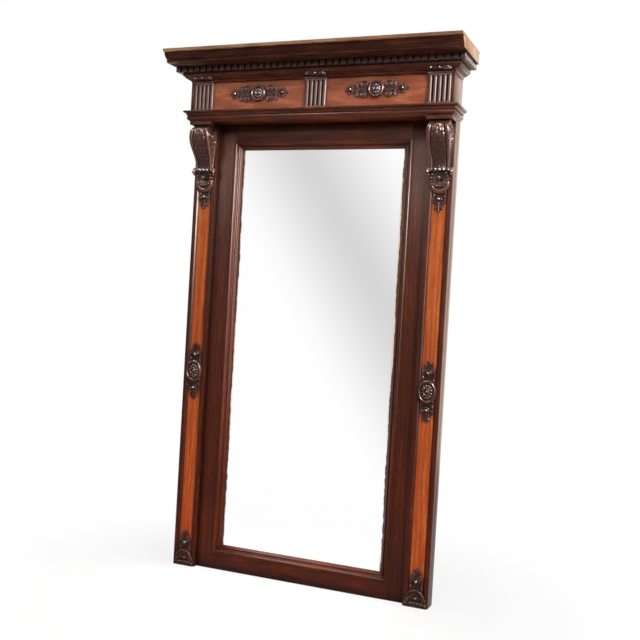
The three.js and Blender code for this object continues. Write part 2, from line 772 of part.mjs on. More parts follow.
// Block with flutes down its face; its small cap breaks out over the bed moulding and has studs.
function flutedBlock(x) {
  const { width, flutes, fluteWidth, flutePitch, fluteDepth } = BLOCK;
  const face = FRIEZE.depth;
  const plan = new THREE.Shape();
  plan.moveTo(-width / 2, carrierFront);
  plan.lineTo(-width / 2, face);
  for (let i = 0; i < flutes; i++) {
    const centre = (i - (flutes - 1) / 2) * flutePitch;
    plan.lineTo(centre - fluteWidth / 2, face);
    plan.absellipse(centre, face, fluteWidth / 2, fluteDepth, Math.PI, 2 * Math.PI, false, 0);
  }
  plan.lineTo(width / 2, face);
  plan.lineTo(width / 2, carrierFront);
  const shaft = extrudeUp(plan, friezeBottom, friezeTop - CLEARANCE, 6);
  const capHalf = width / 2 + BLOCK_CAP.overhang;
  const capFront = face + BLOCK_CAP.projection;
  const capTop = friezeTop + BLOCK_CAP.rise;
  const capFoot = friezeTop - BLOCK_CAP.drop;
  const cap = box(-capHalf, capHalf, face + CLEARANCE, capFront, capFoot, capTop);
  const root = box(-width / 2, width / 2, face - fluteDepth - 1, capFront, capFoot, capTop);
  const bed = extrudeAcross(bedProfile(-BLOCK.thickness, CLEARANCE), -width, width);
  bed.translate(0, -face, friezeTop);
  const studs = [];
  for (let i = 0; i < CAP_STUD.count; i++) {
    const along = (i - (CAP_STUD.count - 1) / 2) * CAP_STUD.pitch;
    studs.push(ball(along, capFront, capTop - CAP_STUD.drop, CAP_STUD.radius, 8, 6));
  }
  const block = cut(joined([shaft, cap, root, ...studs]), bed);
  block.translate(x, 0, 0);
  return block;
}

// Upper edge of a fret's strap, from its middle to the point at its right end.
function fretEdge() {
  const { halfLength, halfWidth, studAlong } = FRET;
  const edge = new THREE.Path();
  edge.moveTo(0, halfWidth);
  edge.lineTo(studAlong - 22, halfWidth);
  edge.quadraticCurveTo(studAlong - 8, halfWidth - 8, halfLength - 14, halfWidth + 1);
  edge.quadraticCurveTo(halfLength - 3, halfWidth - 4, halfLength, 0);
  return edge.getPoints(3);
}

// Pierced fretwork on each frieze panel: rings and lobes on a strap with a stud at either end,
// and a rosette of rings round a button over its middle.
function addFriezeOrnaments() {
  const z = (friezeBottom + friezeTop) / 2 + FRET.rise;
  const back = friezePanelFront + CLEARANCE;
  const front = back + FRET.thickness;
  const upper = fretEdge();
  const lower = upper.slice(0, -1).map((point) => new THREE.Vector2(point.x, -point.y));
  const pieces = [extrudeForward(twoSided([...upper, ...lower.reverse()]), back, front)];
  const eyes = [];
  const studOut = Math.max(front, back + LEAF.studRadius);
  for (const side of [-1, 1]) {
    pieces.push(ball(side * FRET.studAlong, studOut, 0, LEAF.studRadius));
    for (const level of [-1, 1]) {
      const [ringX, ringZ] = [side * FRET_RING.along, level * FRET_RING.across];
      pieces.push(disc(ringX, ringZ, FRET_RING.radius, back, front + FRET_RING.proud, 16));
      eyes.push(disc(ringX, ringZ, FRET_RING.eye, back - 1, front + FRET_RING.proud + 1, 8));
      const [lobeX, lobeZ] = [side * FRET_LOBE.along, level * FRET_LOBE.across];
      pieces.push(disc(lobeX, lobeZ, FRET_LOBE.radius, back, front, 12));
    }
  }
  const fret = cut(joined(pieces), ...eyes);
  fret.translate(friezePanelX, 0, z);
  placePair("frieze_fret", fret, darkWood);

  const { radius, depth } = ROSETTE;
  const rings = [
    [0, 0],
    [radius, 0],
    [radius, 3],
    [radius - 3, 6],
    [radius - 7, 4],
    [radius - 10, 3.5],
    [radius - 14, 8],
    [radius - 19, 8],
    [radius - 22, 5],
    [radius - 25, 10],
    [radius - 28, depth],
    [0, depth],
  ];
  placePair("rosette", turned(rings, friezePanelX, z, front + CLEARANCE, 24), darkWood);
}

// ---------- cornice: dentils, board, crown moulding and top board ----------

// Plan of a strip with teeth on its front edge; the teeth are shared out evenly from end to end.
function dentilPlan(start, end, back) {
  const face = back + DENTIL.plate;
  const tip = face + DENTIL.tooth;
  const count = Math.max(1, Math.round((end - start + DENTIL.gap) / (DENTIL.width + DENTIL.gap)));
  const pitch = (end - start + DENTIL.gap) / count;
  const width = pitch - DENTIL.gap;
  const points = [[start, back]];
  for (let i = 0; i < count; i++) {
    const left = start + i * pitch;
    if (i > 0) points.push([left, face]);
    points.push([left, tip], [left + width, tip]);
    if (i + 1 < count) points.push([left + width, face]);
  }
  points.push([end, back]);
  return polygon(points);
}

function addCornice() {
  const plateInset = DENTIL.plateProjection - DENTIL.plate;
  const plateBack = FRIEZE.depth + plateInset;
  const frontHalf = frameHalf + DENTIL.plateProjection + DENTIL.tooth;
  const frontPlan = dentilPlan(-frontHalf, frontHalf, plateBack);
  place("dentils_front", extrudeUp(frontPlan, bedTop, corniceBottom), darkWood);
  // The returns run forward from the wall and stop behind the front strip.
  const sidePlan = dentilPlan(0, plateBack - CLEARANCE, frameHalf + plateInset);
  const sideStrip = extrude(sidePlan, [FORWARD, RIGHT, UP], bedTop, corniceBottom);
  placePair("dentils_return", sideStrip, darkWood);

  const { depth, endOverhang, setback, foot, thickness } = CROWN;
  const half = frameHalf + endOverhang;
  const mouldBack = depth - thickness;
  place("cornice_board", box(-half, half, 0, mouldBack, corniceBottom, topBoardBottom), rawWood);
  const crown = new THREE.Shape();
  const rise = CORNICE_BOARD_THICKNESS;
  crown.moveTo(mouldBack, 0);
  crown.lineTo(depth - foot, 0);
  crown.quadraticCurveTo(depth - foot + 7, 1, depth - foot + 7, 6);
  crown.quadraticCurveTo(depth - foot + 7, 10, depth - foot + 4, 11);
  crown.lineTo(depth - foot + 9, 12.5);
  crown.lineTo(depth - foot + 9, 15);
  crown.quadraticCurveTo(depth - setback - 12, 16, depth - setback - 6, 24);
  crown.quadraticCurveTo(depth - setback - 1, 30, depth - setback, rise - 2);
  crown.lineTo(depth - setback, rise);
  crown.lineTo(mouldBack, rise);
  const moulding = extrudeAcross(crown, -half, half);
  moulding.translate(0, 0, corniceBottom);
  place("crown_moulding", moulding, darkWood);
  place("top_board", box(-half, half, 0, depth, topBoardBottom, HEIGHT), rawWood);
}

addFrame();
addGlassAndBack();
addSightMouldings();
addPilasters();
addBosses();
addDrops();
addFeet();
addCaps();
addCorbels();
addMouldingSet("architrave", architraveProfile, friezeBottom - ARCHITRAVE.height);
addMouldingSet("bed_moulding", bedProfile, friezeTop);
addFrieze();
addFriezeOrnaments();
addCornice();

export default pierMirror;
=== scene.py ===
# Pier mirror: finish, carving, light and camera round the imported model.
# Lengths of the object are millimetres, as (x, out, z): x to the right, out from the wall's
# plane towards the viewer, z up from the floor. MM turns them into Blender's metres. The places
# of camera and lights and the lengths inside materials are metres.
import math

import bmesh
import bpy
import numpy as np
from mathutils import Euler, Matrix, Vector
from mathutils.bvhtree import BVHTree


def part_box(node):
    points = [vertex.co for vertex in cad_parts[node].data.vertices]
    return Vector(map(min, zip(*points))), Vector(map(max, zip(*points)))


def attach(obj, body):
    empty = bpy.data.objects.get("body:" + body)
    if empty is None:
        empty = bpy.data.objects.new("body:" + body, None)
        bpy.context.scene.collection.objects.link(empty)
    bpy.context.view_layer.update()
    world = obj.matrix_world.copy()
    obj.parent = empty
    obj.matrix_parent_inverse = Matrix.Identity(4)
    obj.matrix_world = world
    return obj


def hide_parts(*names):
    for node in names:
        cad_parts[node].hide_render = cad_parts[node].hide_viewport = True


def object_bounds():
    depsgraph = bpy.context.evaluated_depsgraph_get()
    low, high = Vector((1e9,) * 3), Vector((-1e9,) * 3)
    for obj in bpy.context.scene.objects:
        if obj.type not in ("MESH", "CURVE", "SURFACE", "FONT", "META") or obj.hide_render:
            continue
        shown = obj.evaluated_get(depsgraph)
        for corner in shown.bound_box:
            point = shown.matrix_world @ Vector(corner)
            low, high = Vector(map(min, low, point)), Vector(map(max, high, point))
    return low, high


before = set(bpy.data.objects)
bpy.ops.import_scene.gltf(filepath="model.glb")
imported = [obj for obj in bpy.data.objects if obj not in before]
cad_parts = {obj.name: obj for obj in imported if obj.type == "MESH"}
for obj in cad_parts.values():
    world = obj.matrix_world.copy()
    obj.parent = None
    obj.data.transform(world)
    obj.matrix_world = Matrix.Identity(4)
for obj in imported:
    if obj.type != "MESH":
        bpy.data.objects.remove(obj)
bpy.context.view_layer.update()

MM = 0.001
scene = bpy.context.scene

# ---------- sizes read from the frame ----------

WALL_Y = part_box("backboard_lower")[1].y


def node_box(node):
    """Lowest and highest (x, out, z) of a CAD node in millimetres; out runs against Y."""
    low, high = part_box(node)
    return (
        np.array([low.x, WALL_Y - high.y, low.z]) / MM,
        np.array([high.x, WALL_Y - low.y, high.z]) / MM,
    )


SIGHT_HALF = node_box("sight_moulding_right")[0][0]
TOP_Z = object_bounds()[1][2] / MM

# ---------- camera ----------

# Place in metres, turns about X, Y and Z in degrees, lens and sensor in millimetres.
CAMERA_PLACE = (1.44075, -3.34279, 1.13495)
CAMERA_TURN = (89.1910, -3.3294, 22.1785)
CAMERA_LENS = 51.49
SENSOR_WIDTH = 36.0


def add_camera():
    data = bpy.data.cameras.new("camera")
    data.lens = CAMERA_LENS
    data.sensor_width = SENSOR_WIDTH
    camera = bpy.data.objects.new("camera", data)
    scene.collection.objects.link(camera)
    turn = Euler([math.radians(angle) for angle in CAMERA_TURN])
    camera.matrix_world = Matrix.Translation(CAMERA_PLACE) @ turn.to_matrix().to_4x4()
    scene.camera = camera


# ---------- node graphs ----------


class Graph:
    """A node tree with short calls; what feeds an input may be a value or a socket."""

    def __init__(self, tree):
        self.tree = tree

    def fill(self, made, feeds):
        """Feeds a node's inputs, which are given by name or number."""
        for key, value in feeds.items():
            if isinstance(value, bpy.types.NodeSocket):
                self.tree.links.new(value, made.inputs[key])
            elif value is not None:
                made.inputs[key].default_value = value

    def node(self, kind, feeds=None, **settings):
        made = self.tree.nodes.new(kind)
        for key, value in settings.items():
            setattr(made, key, value)
        self.fill(made, feeds or {})
        return made

    def math(self, operation, a, b=None, clamp=False):
        feeds = {0: a, 1: b}
        return self.node("ShaderNodeMath", feeds, operation=operation, use_clamp=clamp).outputs[0]

    def times(self, a, b):
        return self.math("MULTIPLY", a, b)

    def less(self, a, b):
        return self.math("SUBTRACT", a, b)

    def dot(self, a, b):
        made = self.node("ShaderNodeVectorMath", {0: a, 1: b}, operation="DOT_PRODUCT")
        return made.outputs["Value"]

    def split(self, vector):
        """A vector's parts, by the names X, Y and Z."""
        return self.node("ShaderNodeSeparateXYZ", {0: vector}).outputs

    def ramp(self, value, low, high, to_low=0.0, to_high=1.0):
        """Smooth step from low to high, which may also be the larger first."""
        feeds = {0: value, 1: low, 2: high, 3: to_low, 4: to_high}
        return self.node("ShaderNodeMapRange", feeds, interpolation_type="SMOOTHSTEP").outputs[0]

    def mix(self, share, a, b, blend="MIX"):
        feeds = {0: share, 6: a, 7: b}
        return self.node("ShaderNodeMix", feeds, data_type="RGBA", blend_type=blend).outputs[2]

    def place(self, scale=(1, 1, 1), shift=(0, 0, 0)):
        """Object coordinates in metres, scaled per axis and shifted."""
        spot = self.node("ShaderNodeTexCoord").outputs["Object"]
        feeds = {"Vector": spot, "Location": shift, "Scale": scale}
        return self.node("ShaderNodeMapping", feeds).outputs[0]

    def noise(self, place, scale, detail=4.0, roughness=0.55, distortion=0.0):
        feeds = {"Vector": place, "Scale": scale, "Detail": detail}
        feeds.update({"Roughness": roughness, "Distortion": distortion})
        return self.node("ShaderNodeTexNoise", feeds).outputs["Fac"]

    def wave(self, place, scale, distortion, detail):
        feeds = {"Vector": place, "Scale": scale, "Distortion": distortion, "Detail": detail}
        return self.node("ShaderNodeTexWave", feeds).outputs["Fac"]

    def bump(self, height, strength, distance, under=None):
        feeds = {"Height": height, "Strength": strength, "Distance": distance, "Normal": under}
        return self.node("ShaderNodeBump", feeds).outputs[0]


def rgb(red, green, blue):
    """An sRGB colour of 0 to 255 as a linear colour."""
    def linear(value):
        share = value / 255
        return share / 12.92 if share <= 0.04045 else ((share + 0.055) / 1.055) ** 2.4
    return (linear(red), linear(green), linear(blue), 1.0)


def dimmed(colour, share):
    return [part * share for part in colour[:3]] + [1]


def new_material(name):
    material = bpy.data.materials.new(name)
    material.use_nodes = True
    graph = Graph(material.node_tree)
    shader = material.node_tree.nodes["Principled BSDF"]
    return material, graph, shader


# ---------- wood ----------

# Stretch of the wood's texture space for grain that runs along each axis.
GRAIN = {
    "x": (0.09, 1.0, 1.0),
    "y": (1.0, 0.09, 1.0),
    "z": (1.0, 1.0, 0.09),
}

# Scales of the patterns in the wood, and how far the tone swings from dark to light.
STREAK_SCALE = 330
FINE_SCALE = 620
MOTTLE_SCALE = 130
BAND_SCALE = 14
FIGURE_SCALE = 5.5
PORE_SCALE = 900
FLECK_SCALE = 300
PATCH_SCALE = 38
RIPPLE_SCALE = 24
TONE_REACH = 0.42

# Widths in metres of worn arrises, of hollows and of deep corners, and the tint of the deep corners'
# painted shade.
ARRIS_REACH = 0.0016
HOLLOW_REACH = 0.012
CORNER_REACH = 0.075
CORNER_SHADE = (0.20, 0.14, 0.13, 1)


def openness(graph, reach):
    """How open a point lies, from 0 in a closed corner to 1, seen within the reach."""
    feeds = {"Distance": reach}
    return graph.node("ShaderNodeAmbientOcclusion", feeds, samples=6, only_local=False).outputs["AO"]


def surface_normal(graph):
    return graph.node("ShaderNodeNewGeometry").outputs["Normal"]


def wear_and_shade_masks(graph):
    """Masks of worn arrises, of hollows for dust and painted shade, and of deep corners for painted
    shade.
    """
    rounded_normal = graph.node("ShaderNodeBevel", {"Radius": ARRIS_REACH}, samples=4).outputs[0]
    arris = graph.ramp(graph.dot(rounded_normal, surface_normal(graph)), 0.995, 0.90)
    # Hollows: dust, and painted shade.
    hollow = graph.ramp(openness(graph, HOLLOW_REACH), 0.92, 0.32)
    # Deep corners, such as under the entablature and beside the pilasters: painted shade.
    corner = graph.ramp(openness(graph, CORNER_REACH), 0.85, 0.30)
    return arris, hollow, corner


def raw_and_side_lit_faces(graph):
    """Mask of raw faces: the ends, the top, the back and a narrow line under the top; the right end is
    also painted light.
    """
    facing = graph.split(surface_normal(graph))
    # The ends: raw wood, and on the right end also painted light from the right.
    end = graph.ramp(graph.math("ABSOLUTE", facing["X"]), 0.7, 0.9)
    top = graph.ramp(facing["Z"], 0.7, 0.9)
    back = graph.ramp(facing["Y"], 0.7, 0.9)
    place = graph.split(graph.place())
    uneven = graph.noise(graph.place((0.25, 1, 1)), 60, 4, 0.7)
    depth = graph.math("ADD", graph.times(uneven, 0.003), 0.0105)
    line = graph.ramp(graph.less(place["Z"], graph.less(TOP_Z * MM, depth)), -0.001, 0.001)
    # The line is palest on the left and browner towards the right.
    rim = graph.times(line, graph.ramp(place["X"], 0.6, -0.5, 0.42, 0.92))
    return graph.math("MAXIMUM", graph.math("MAXIMUM", end, top), graph.math("MAXIMUM", back, rim))


def grain_tone(graph, stretch, streaks, figure):
    """Tone about 0 from streaks, a mottle, bands and broad figure along the grain."""
    mottle = graph.noise(graph.place(stretch, (1, 4, 3)), MOTTLE_SCALE, 4, 0.7)
    bands = graph.wave(graph.place(stretch), BAND_SCALE, 12, 4)
    broad_stretch = [max(share, 0.35) for share in stretch]
    broad = graph.noise(graph.place(broad_stretch), FIGURE_SCALE, 4, 0.6)
    tone = 0.0
    for pattern, amount in ((streaks, 0.8), (mottle, 1.0), (bands, 0.4 * figure), (broad, 0.8)):
        tone = graph.math("ADD", tone, graph.times(graph.less(pattern, 0.5), amount))
    return tone


def pore_marks(graph, stretch):
    """Pores, which are short dark dashes along the grain, and all marks with longer flecks."""
    thin = [share * (1.0 if share > 0.5 else 2.2) for share in stretch]
    pore = graph.ramp(graph.noise(graph.place(thin), PORE_SCALE, 2, 0.5), 0.62, 0.72)
    fleck = graph.ramp(graph.noise(graph.place(thin, (2, 5, 1)), FLECK_SCALE, 3, 0.6), 0.56, 0.70)
    return pore, graph.math("MAXIMUM", pore, graph.times(fleck, 0.7))


def carved_shade_and_wear(graph, colour, dark, worn, carving):
    """Darkens carved hollows as painted shade, and rubs the ridges lighter as wear and as painted
    highlight.
    """
    depth = graph.node("ShaderNodeAttribute", attribute_name="hollow_depth").outputs["Fac"]
    # Painted shade in the carving's hollows.
    sunk = graph.times(graph.ramp(depth, -0.1, 0.7), carving)
    colour = graph.mix(sunk, colour, dimmed(dark, 0.2))
    # Lighter ridges: wear, and painted highlight.
    rubbed = graph.times(graph.ramp(depth, -0.15, -1.3), 0.35 * carving)
    return graph.mix(rubbed, colour, worn)


def foot_tint(graph, colour, tint):
    """Tints the colour towards the floor."""
    low_share = graph.ramp(graph.split(graph.place())["Z"], 1.3, 0.25)
    return graph.mix(low_share, colour, tint, "MULTIPLY")


# hollow sets the painted shade and the dust in hollows, and deep sets the painted shade in deep
# corners.
def wood(name, grain, tones, worn=None, roughness=0.34, specular=0.35, figure=0.5, pores=0.6,
         wear=0.5, hollow=0.6, deep=0.9, carving=0.0, foot=None, ends=None):
    """Polished wood in dark, middle and light tones, with pores, worn arrises, and painted shade in
    hollows and deep corners.
    """
    material, graph, shader = new_material(name)
    dark, middle, light = (rgb(*tone) for tone in tones)
    rubbed = rgb(*worn) if worn else light
    stretch = GRAIN[grain]
    along = graph.place(stretch)
    streaks = graph.noise(along, STREAK_SCALE, 5, 0.72, 0.3)
    tone = grain_tone(graph, stretch, streaks, figure)
    colour = graph.mix(graph.ramp(tone, -TONE_REACH, 0.0), dark, middle)
    colour = graph.mix(graph.ramp(tone, 0.0, TONE_REACH), colour, light)
    pore, marks = pore_marks(graph, stretch)
    colour = graph.mix(graph.times(marks, pores), colour, dimmed(dark, 0.5))
    arris, hollow_dust_and_shade, corner = wear_and_shade_masks(graph)
    patches = graph.ramp(graph.noise(graph.place(), PATCH_SCALE, 4, 0.65), 0.38, 0.66)
    colour = graph.mix(graph.times(graph.times(arris, patches), wear), colour, rubbed)
    # Hollows get painted shade in a dark tone, and a duller polish as dust.
    dust_and_shade = graph.times(hollow_dust_and_shade, hollow)
    colour = graph.mix(dust_and_shade, colour, dimmed(dark, 0.22))
    # Deep corners get painted shade.
    colour = graph.mix(graph.times(corner, deep), colour, CORNER_SHADE, "MULTIPLY")
    # Carved pieces: painted shade in their hollows, and lighter ridges as wear and painted highlight.
    if carving:
        colour = carved_shade_and_wear(graph, colour, dark, rubbed, carving)
    if foot:
        colour = foot_tint(graph, colour, foot)
    # Raw ends, top and back in pale tones; on the right end this pale tone is also painted light.
    if ends:
        raw = graph.mix(graph.ramp(tone, -0.4, 0.4), *ends)
        colour = graph.mix(raw_and_side_lit_faces(graph), colour, raw)
    sheen = graph.math("ADD", roughness - 0.06, graph.times(streaks, 0.12))
    sheen = graph.math("ADD", sheen, graph.times(dust_and_shade, 0.35), clamp=True)
    bump = graph.bump(graph.noise(along, FINE_SCALE, 3, 0.6), 0.10, 0.0005)
    bump = graph.bump(pore, 0.16, -0.0006, bump)
    bump = graph.bump(graph.noise(graph.place(), RIPPLE_SCALE, 2), 0.12, 0.002, bump)
    graph.fill(shader, {
        "Base Color": colour, "Roughness": sheen, "Specular IOR Level": specular, "Normal": bump,
    })
    return material


WORN = (176, 104, 62)
# Tones of raw wood, which on the crown's right end are also painted light.
RAW_AND_SIDE_LIT_TONES = (rgb(128, 84, 54), rgb(194, 150, 112))


def add_materials():
    made = {}
    for axis in GRAIN:
        made["dark_" + axis] = wood(
            "dark_wood_" + axis, axis, [(46, 20, 11), (78, 35, 20), (112, 54, 30)], WORN,
            roughness=0.3, specular=0.1, pores=0.8, foot=(0.78, 0.50, 0.20, 1), wear=0.8,
        )
    made["crown"] = wood(
        "crown_wood", "x", [(28, 11, 5), (58, 26, 14), (100, 50, 28)], WORN, pores=0.8,
        roughness=0.30, specular=0.05, wear=1.0, ends=RAW_AND_SIDE_LIT_TONES,
    )
    # Dentils: worn arrises in a pale pink tone, as wear and as painted highlight on their edges.
    made["dentil"] = wood(
        "dentil_wood", "z", [(34, 14, 8), (70, 34, 23), (104, 55, 40)], (158, 104, 84),
        roughness=0.30, specular=0.25, wear=1.0, hollow=0.9,
    )
    made["carved"] = wood(
        "carved_wood", "z", [(34, 14, 9), (64, 29, 19), (98, 48, 33)], (150, 92, 72), deep=0.45,
        carving=0.9, roughness=0.26, specular=0.2, figure=0.3, pores=0.4, wear=0.5, hollow=0.95,
    )
    # Rosettes: a lighter worn tone on their relief, as wear and as painted highlight.
    made["rosette"] = wood(
        "rosette_wood", "z", [(34, 14, 9), (68, 32, 23), (104, 54, 40)], (172, 122, 104), deep=0.3,
        carving=0.9, roughness=0.28, specular=0.33, figure=0.3, pores=0.3, wear=0.6, hollow=0.95,
    )
    made["stud"] = wood(
        "stud_wood", "z", [(34, 14, 9), (66, 31, 22), (98, 50, 36)], deep=0.3,
        roughness=0.25, specular=0.6, figure=0.3, pores=0.2, wear=0.0, hollow=0.9,
    )
    made["leaf"] = wood(
        "leaf_wood", "z", [(30, 12, 8), (54, 25, 17), (80, 40, 28)], (130, 80, 62), deep=0.3,
        carving=0.8, roughness=0.25, specular=0.11, figure=0.3, pores=0.4, wear=0.3, hollow=0.9,
    )
    # Fluted blocks: ridges rubbed to a pale tone as wear and as painted highlight, and flutes darkened
    # as painted shade.
    made["ridge"] = wood(
        "fluted_wood", "z", [(36, 17, 12), (74, 38, 29), (112, 62, 48)], (166, 128, 116), deep=0.3,
        carving=0.7, roughness=0.36, specular=0.14, figure=0.3, pores=0.4, wear=0.9, hollow=0.95,
    )
    made["fret"] = wood(
        "fretwork_wood", "x", [(56, 30, 25), (88, 50, 42), (118, 74, 62)], (140, 92, 74), deep=0.2,
        carving=0.7, roughness=0.36, specular=0.10, figure=0.3, pores=0.4, wear=0.5, hollow=0.7,
    )
    made["panel"] = wood(
        "figured_panel", "z", [(140, 62, 24), (182, 88, 39), (212, 124, 62)], specular=0.10,
        figure=0.7, pores=0.5, wear=0.0, hollow=0.45, deep=0.3, foot=(0.84, 0.66, 0.58, 1),
    )
    made["veneer"] = wood(
        "frieze_veneer", "x", [(122, 58, 35), (158, 81, 51), (192, 110, 73)], specular=0.08,
        figure=0.8, pores=0.35, wear=0.0, hollow=0.5, deep=0.3,
    )
    made["back"] = wood(
        "back_wood", "z", [(112, 80, 50), (150, 112, 74), (176, 138, 98)],
        roughness=0.8, specular=0.15, figure=0.7, pores=0.3, wear=0.1, hollow=0.6,
    )
    made["mirror"] = silvered_glass()
    return made


# ---------- silvered glass ----------

# The painted reflection, a broad grey band across the silvering: where it runs, and how far it fades to
# either side.
BAND_SLANT = (0.842, 0.0, 0.540)
BAND_PLACE = 0.885
BAND_REACH = 0.40
PAINTED_REFLECTION_GREY = (0.665, 0.665, 0.665, 1)
SILVER = (0.99, 0.99, 0.99, 1)
EDGE_REFLECTION_CREAM = rgb(222, 200, 176)
BARE_BACK = rgb(70, 52, 42)


def silvered_glass():
    """Old mirror glass: a painted reflection of a broad grey band across it and of cream edges, with
    worn silver along them.
    """
    material, graph, shader = new_material("silvered_glass")
    place = graph.place()
    # Painted reflection: the broad grey band, with a little uneven noise.
    away = graph.math("ABSOLUTE", graph.less(graph.dot(place, BAND_SLANT), BAND_PLACE))
    reflection_noise = graph.times(graph.less(graph.noise(place, 1.8, 2), 0.5), 0.06)
    tone = graph.math("ADD", graph.ramp(away, -0.03, BAND_REACH), reflection_noise, clamp=True)
    colour = graph.mix(tone, PAINTED_REFLECTION_GREY, SILVER)
    # Distance from the middle, which tells how near the sides of the sight a point lies.
    side = graph.math("ABSOLUTE", graph.split(place)["X"])
    half = SIGHT_HALF * MM
    # Painted reflection of the rabbet's pale wood along the sides.
    edge = graph.ramp(side, half - 0.0105, half - 0.0085)
    cream = graph.times(edge, graph.ramp(graph.noise(place, 3.5, 2), 0.35, 0.5))
    colour = graph.mix(cream, colour, EDGE_REFLECTION_CREAM)
    fine_noise = graph.noise(graph.place((1, 1, 0.35)), 60, 4, 0.7)
    wide_noise = graph.noise(graph.place(shift=(3, 0, 0)), 3.2, 1)
    reach = graph.times(graph.times(fine_noise, wide_noise), 0.034)
    worn = graph.ramp(graph.less(side, graph.less(half + 0.003, reach)), -0.0006, 0.0006)
    colour = graph.mix(worn, colour, BARE_BACK)
    graph.fill(shader, {
        "Base Color": colour,
        "Metallic": graph.math("SUBTRACT", 1.0, worn, clamp=True),
        "Roughness": graph.ramp(graph.noise(place, 300, 3), 0.3, 0.9, 0.01, 0.04),
    })
    return material


# ---------- carried-over CAD nodes: softened arrises and materials ----------

# Welding distance in metres, and the angles from which edges stay sharp and get a rounded arris.
WELD = 0.00002
SMOOTH_ANGLE = math.radians(41)
BEVEL_ANGLE = math.radians(42)


def modifier_graph(name):
    """Geometry node tree with its input and output nodes."""
    tree = bpy.data.node_groups.new(name, "GeometryNodeTree")
    for way in ("INPUT", "OUTPUT"):
        tree.interface.new_socket("Geometry", in_out=way, socket_type="NodeSocketGeometry")
    return Graph(tree), tree.nodes.new("NodeGroupInput"), tree.nodes.new("NodeGroupOutput")


def weld_faces():
    """Geometry nodes that drop the CAD mesh's own normals and weld its faces."""
    graph, start, end = modifier_graph("weld_faces")
    feeds = {0: start.outputs[0], "Name": "custom_normal"}
    bare = graph.node("GeometryNodeRemoveAttribute", feeds)
    merge = graph.node("GeometryNodeMergeByDistance", {0: bare.outputs[0], "Distance": WELD})
    graph.fill(end, {0: merge.outputs[0]})
    return graph.tree


def shade_by_angle():
    """Geometry nodes that keep edges sharp above SMOOTH_ANGLE and shade the rest smooth."""
    graph, start, end = modifier_graph("shade_by_angle")
    faces = graph.node("GeometryNodeSetShadeSmooth", {"Geometry": start.outputs[0]})
    angle = graph.node("GeometryNodeInputMeshEdgeAngle").outputs["Unsigned Angle"]
    flat = graph.node("FunctionNodeCompare", {0: angle, 1: SMOOTH_ANGLE}, operation="LESS_THAN")
    feeds = {"Geometry": faces.outputs[0], "Shade Smooth": flat.outputs[0]}
    edges = graph.node("GeometryNodeSetShadeSmooth", feeds, domain="EDGE")
    graph.fill(end, {0: edges.outputs[0]})
    return graph.tree


def soften(piece, width):
    """Welds a CAD node's faces, rounds its arrises by width millimetres and smooths its curves."""
    piece.modifiers.new("weld", "NODES").node_group = weld_tree
    if width:
        bevel = piece.modifiers.new("arris", "BEVEL")
        bevel.width = width * MM
        bevel.segments = 2
        bevel.limit_method = "ANGLE"
        bevel.angle_limit = BEVEL_ANGLE
    piece.modifiers.new("shade", "NODES").node_group = shade_tree


# The material of the nodes whose names begin so, and the width of their softened arrises. The
# last line stands for all nodes that a carving replaces.
DRESS = {
    "dark_x": {
        "architrave_front": 0.5, "bed_moulding_front": 0.5, "pilaster_cap": 0.7, "rail_": 0.8,
        "soffit_board": 0.6, "sight_moulding_bottom": 0.2, "sight_moulding_top": 0.2,
    },
    "dark_y": {"architrave_return": 0.5, "bed_moulding_return": 0.5, "frieze_end": 0.6},
    "dark_z": {"pilaster_core": 0.6, "pilaster_strip": 0.9, "stile_": 0.8, "sight_moulding": 0.2},
    "crown": {"crown_moulding": 0.6, "cornice_board": 0.8, "top_board": 0.8},
    "dentil": {"dentils": 0.9},
    "panel": {"pilaster_panel": 0.0},
    "veneer": {"frieze_panel": 0.0},
    "back": {"backboard": 0.8, "glass_batten": 0.6, "frieze_carrier": 0.8},
    "mirror": {"mirror_glass": 0.0},
    "carved": {"": 0.3},
}


def dress_frame():
    rows = [(start, material, width) for material in DRESS for start, width in DRESS[material].items()]
    for name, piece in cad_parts.items():
        material, width = next((m, w) for start, m, w in rows if name.startswith(start))
        piece.data.materials.clear()
        piece.data.materials.append(materials[material])
        soften(piece, width)


# ---------- carving: closed solids made from points (x, out, z) ----------

HOLLOW_ROUNDS = 44


def note_hollows(mesh):
    """Notes on every point of a mesh how many millimetres it lies under its surroundings' mean."""
    count = len(mesh.vertices)
    places = np.empty(count * 3)
    mesh.vertices.foreach_get("co", places)
    places = places.reshape(-1, 3)
    normals = np.empty(count * 3)
    mesh.vertex_normals.foreach_get("vector", normals)
    ends = np.empty(len(mesh.edges) * 2, int)
    mesh.edges.foreach_get("vertices", ends)
    near, far = ends.reshape(-1, 2).T
    start, finish = np.concatenate([near, far]), np.concatenate([far, near])
    neighbours = np.bincount(start, minlength=count)
    mean = places.copy()
    for _ in range(HOLLOW_ROUNDS):
        around = [np.bincount(start, mean[finish, axis], count) / neighbours for axis in range(3)]
        mean = (mean + np.column_stack(around)) / 2
    depth = ((mean - places) * normals.reshape(-1, 3)).sum(axis=1) / MM
    mesh.attributes.new("hollow_depth", "FLOAT", "POINT").data.foreach_set("value", depth)


SHARP_ANGLE = math.radians(50)


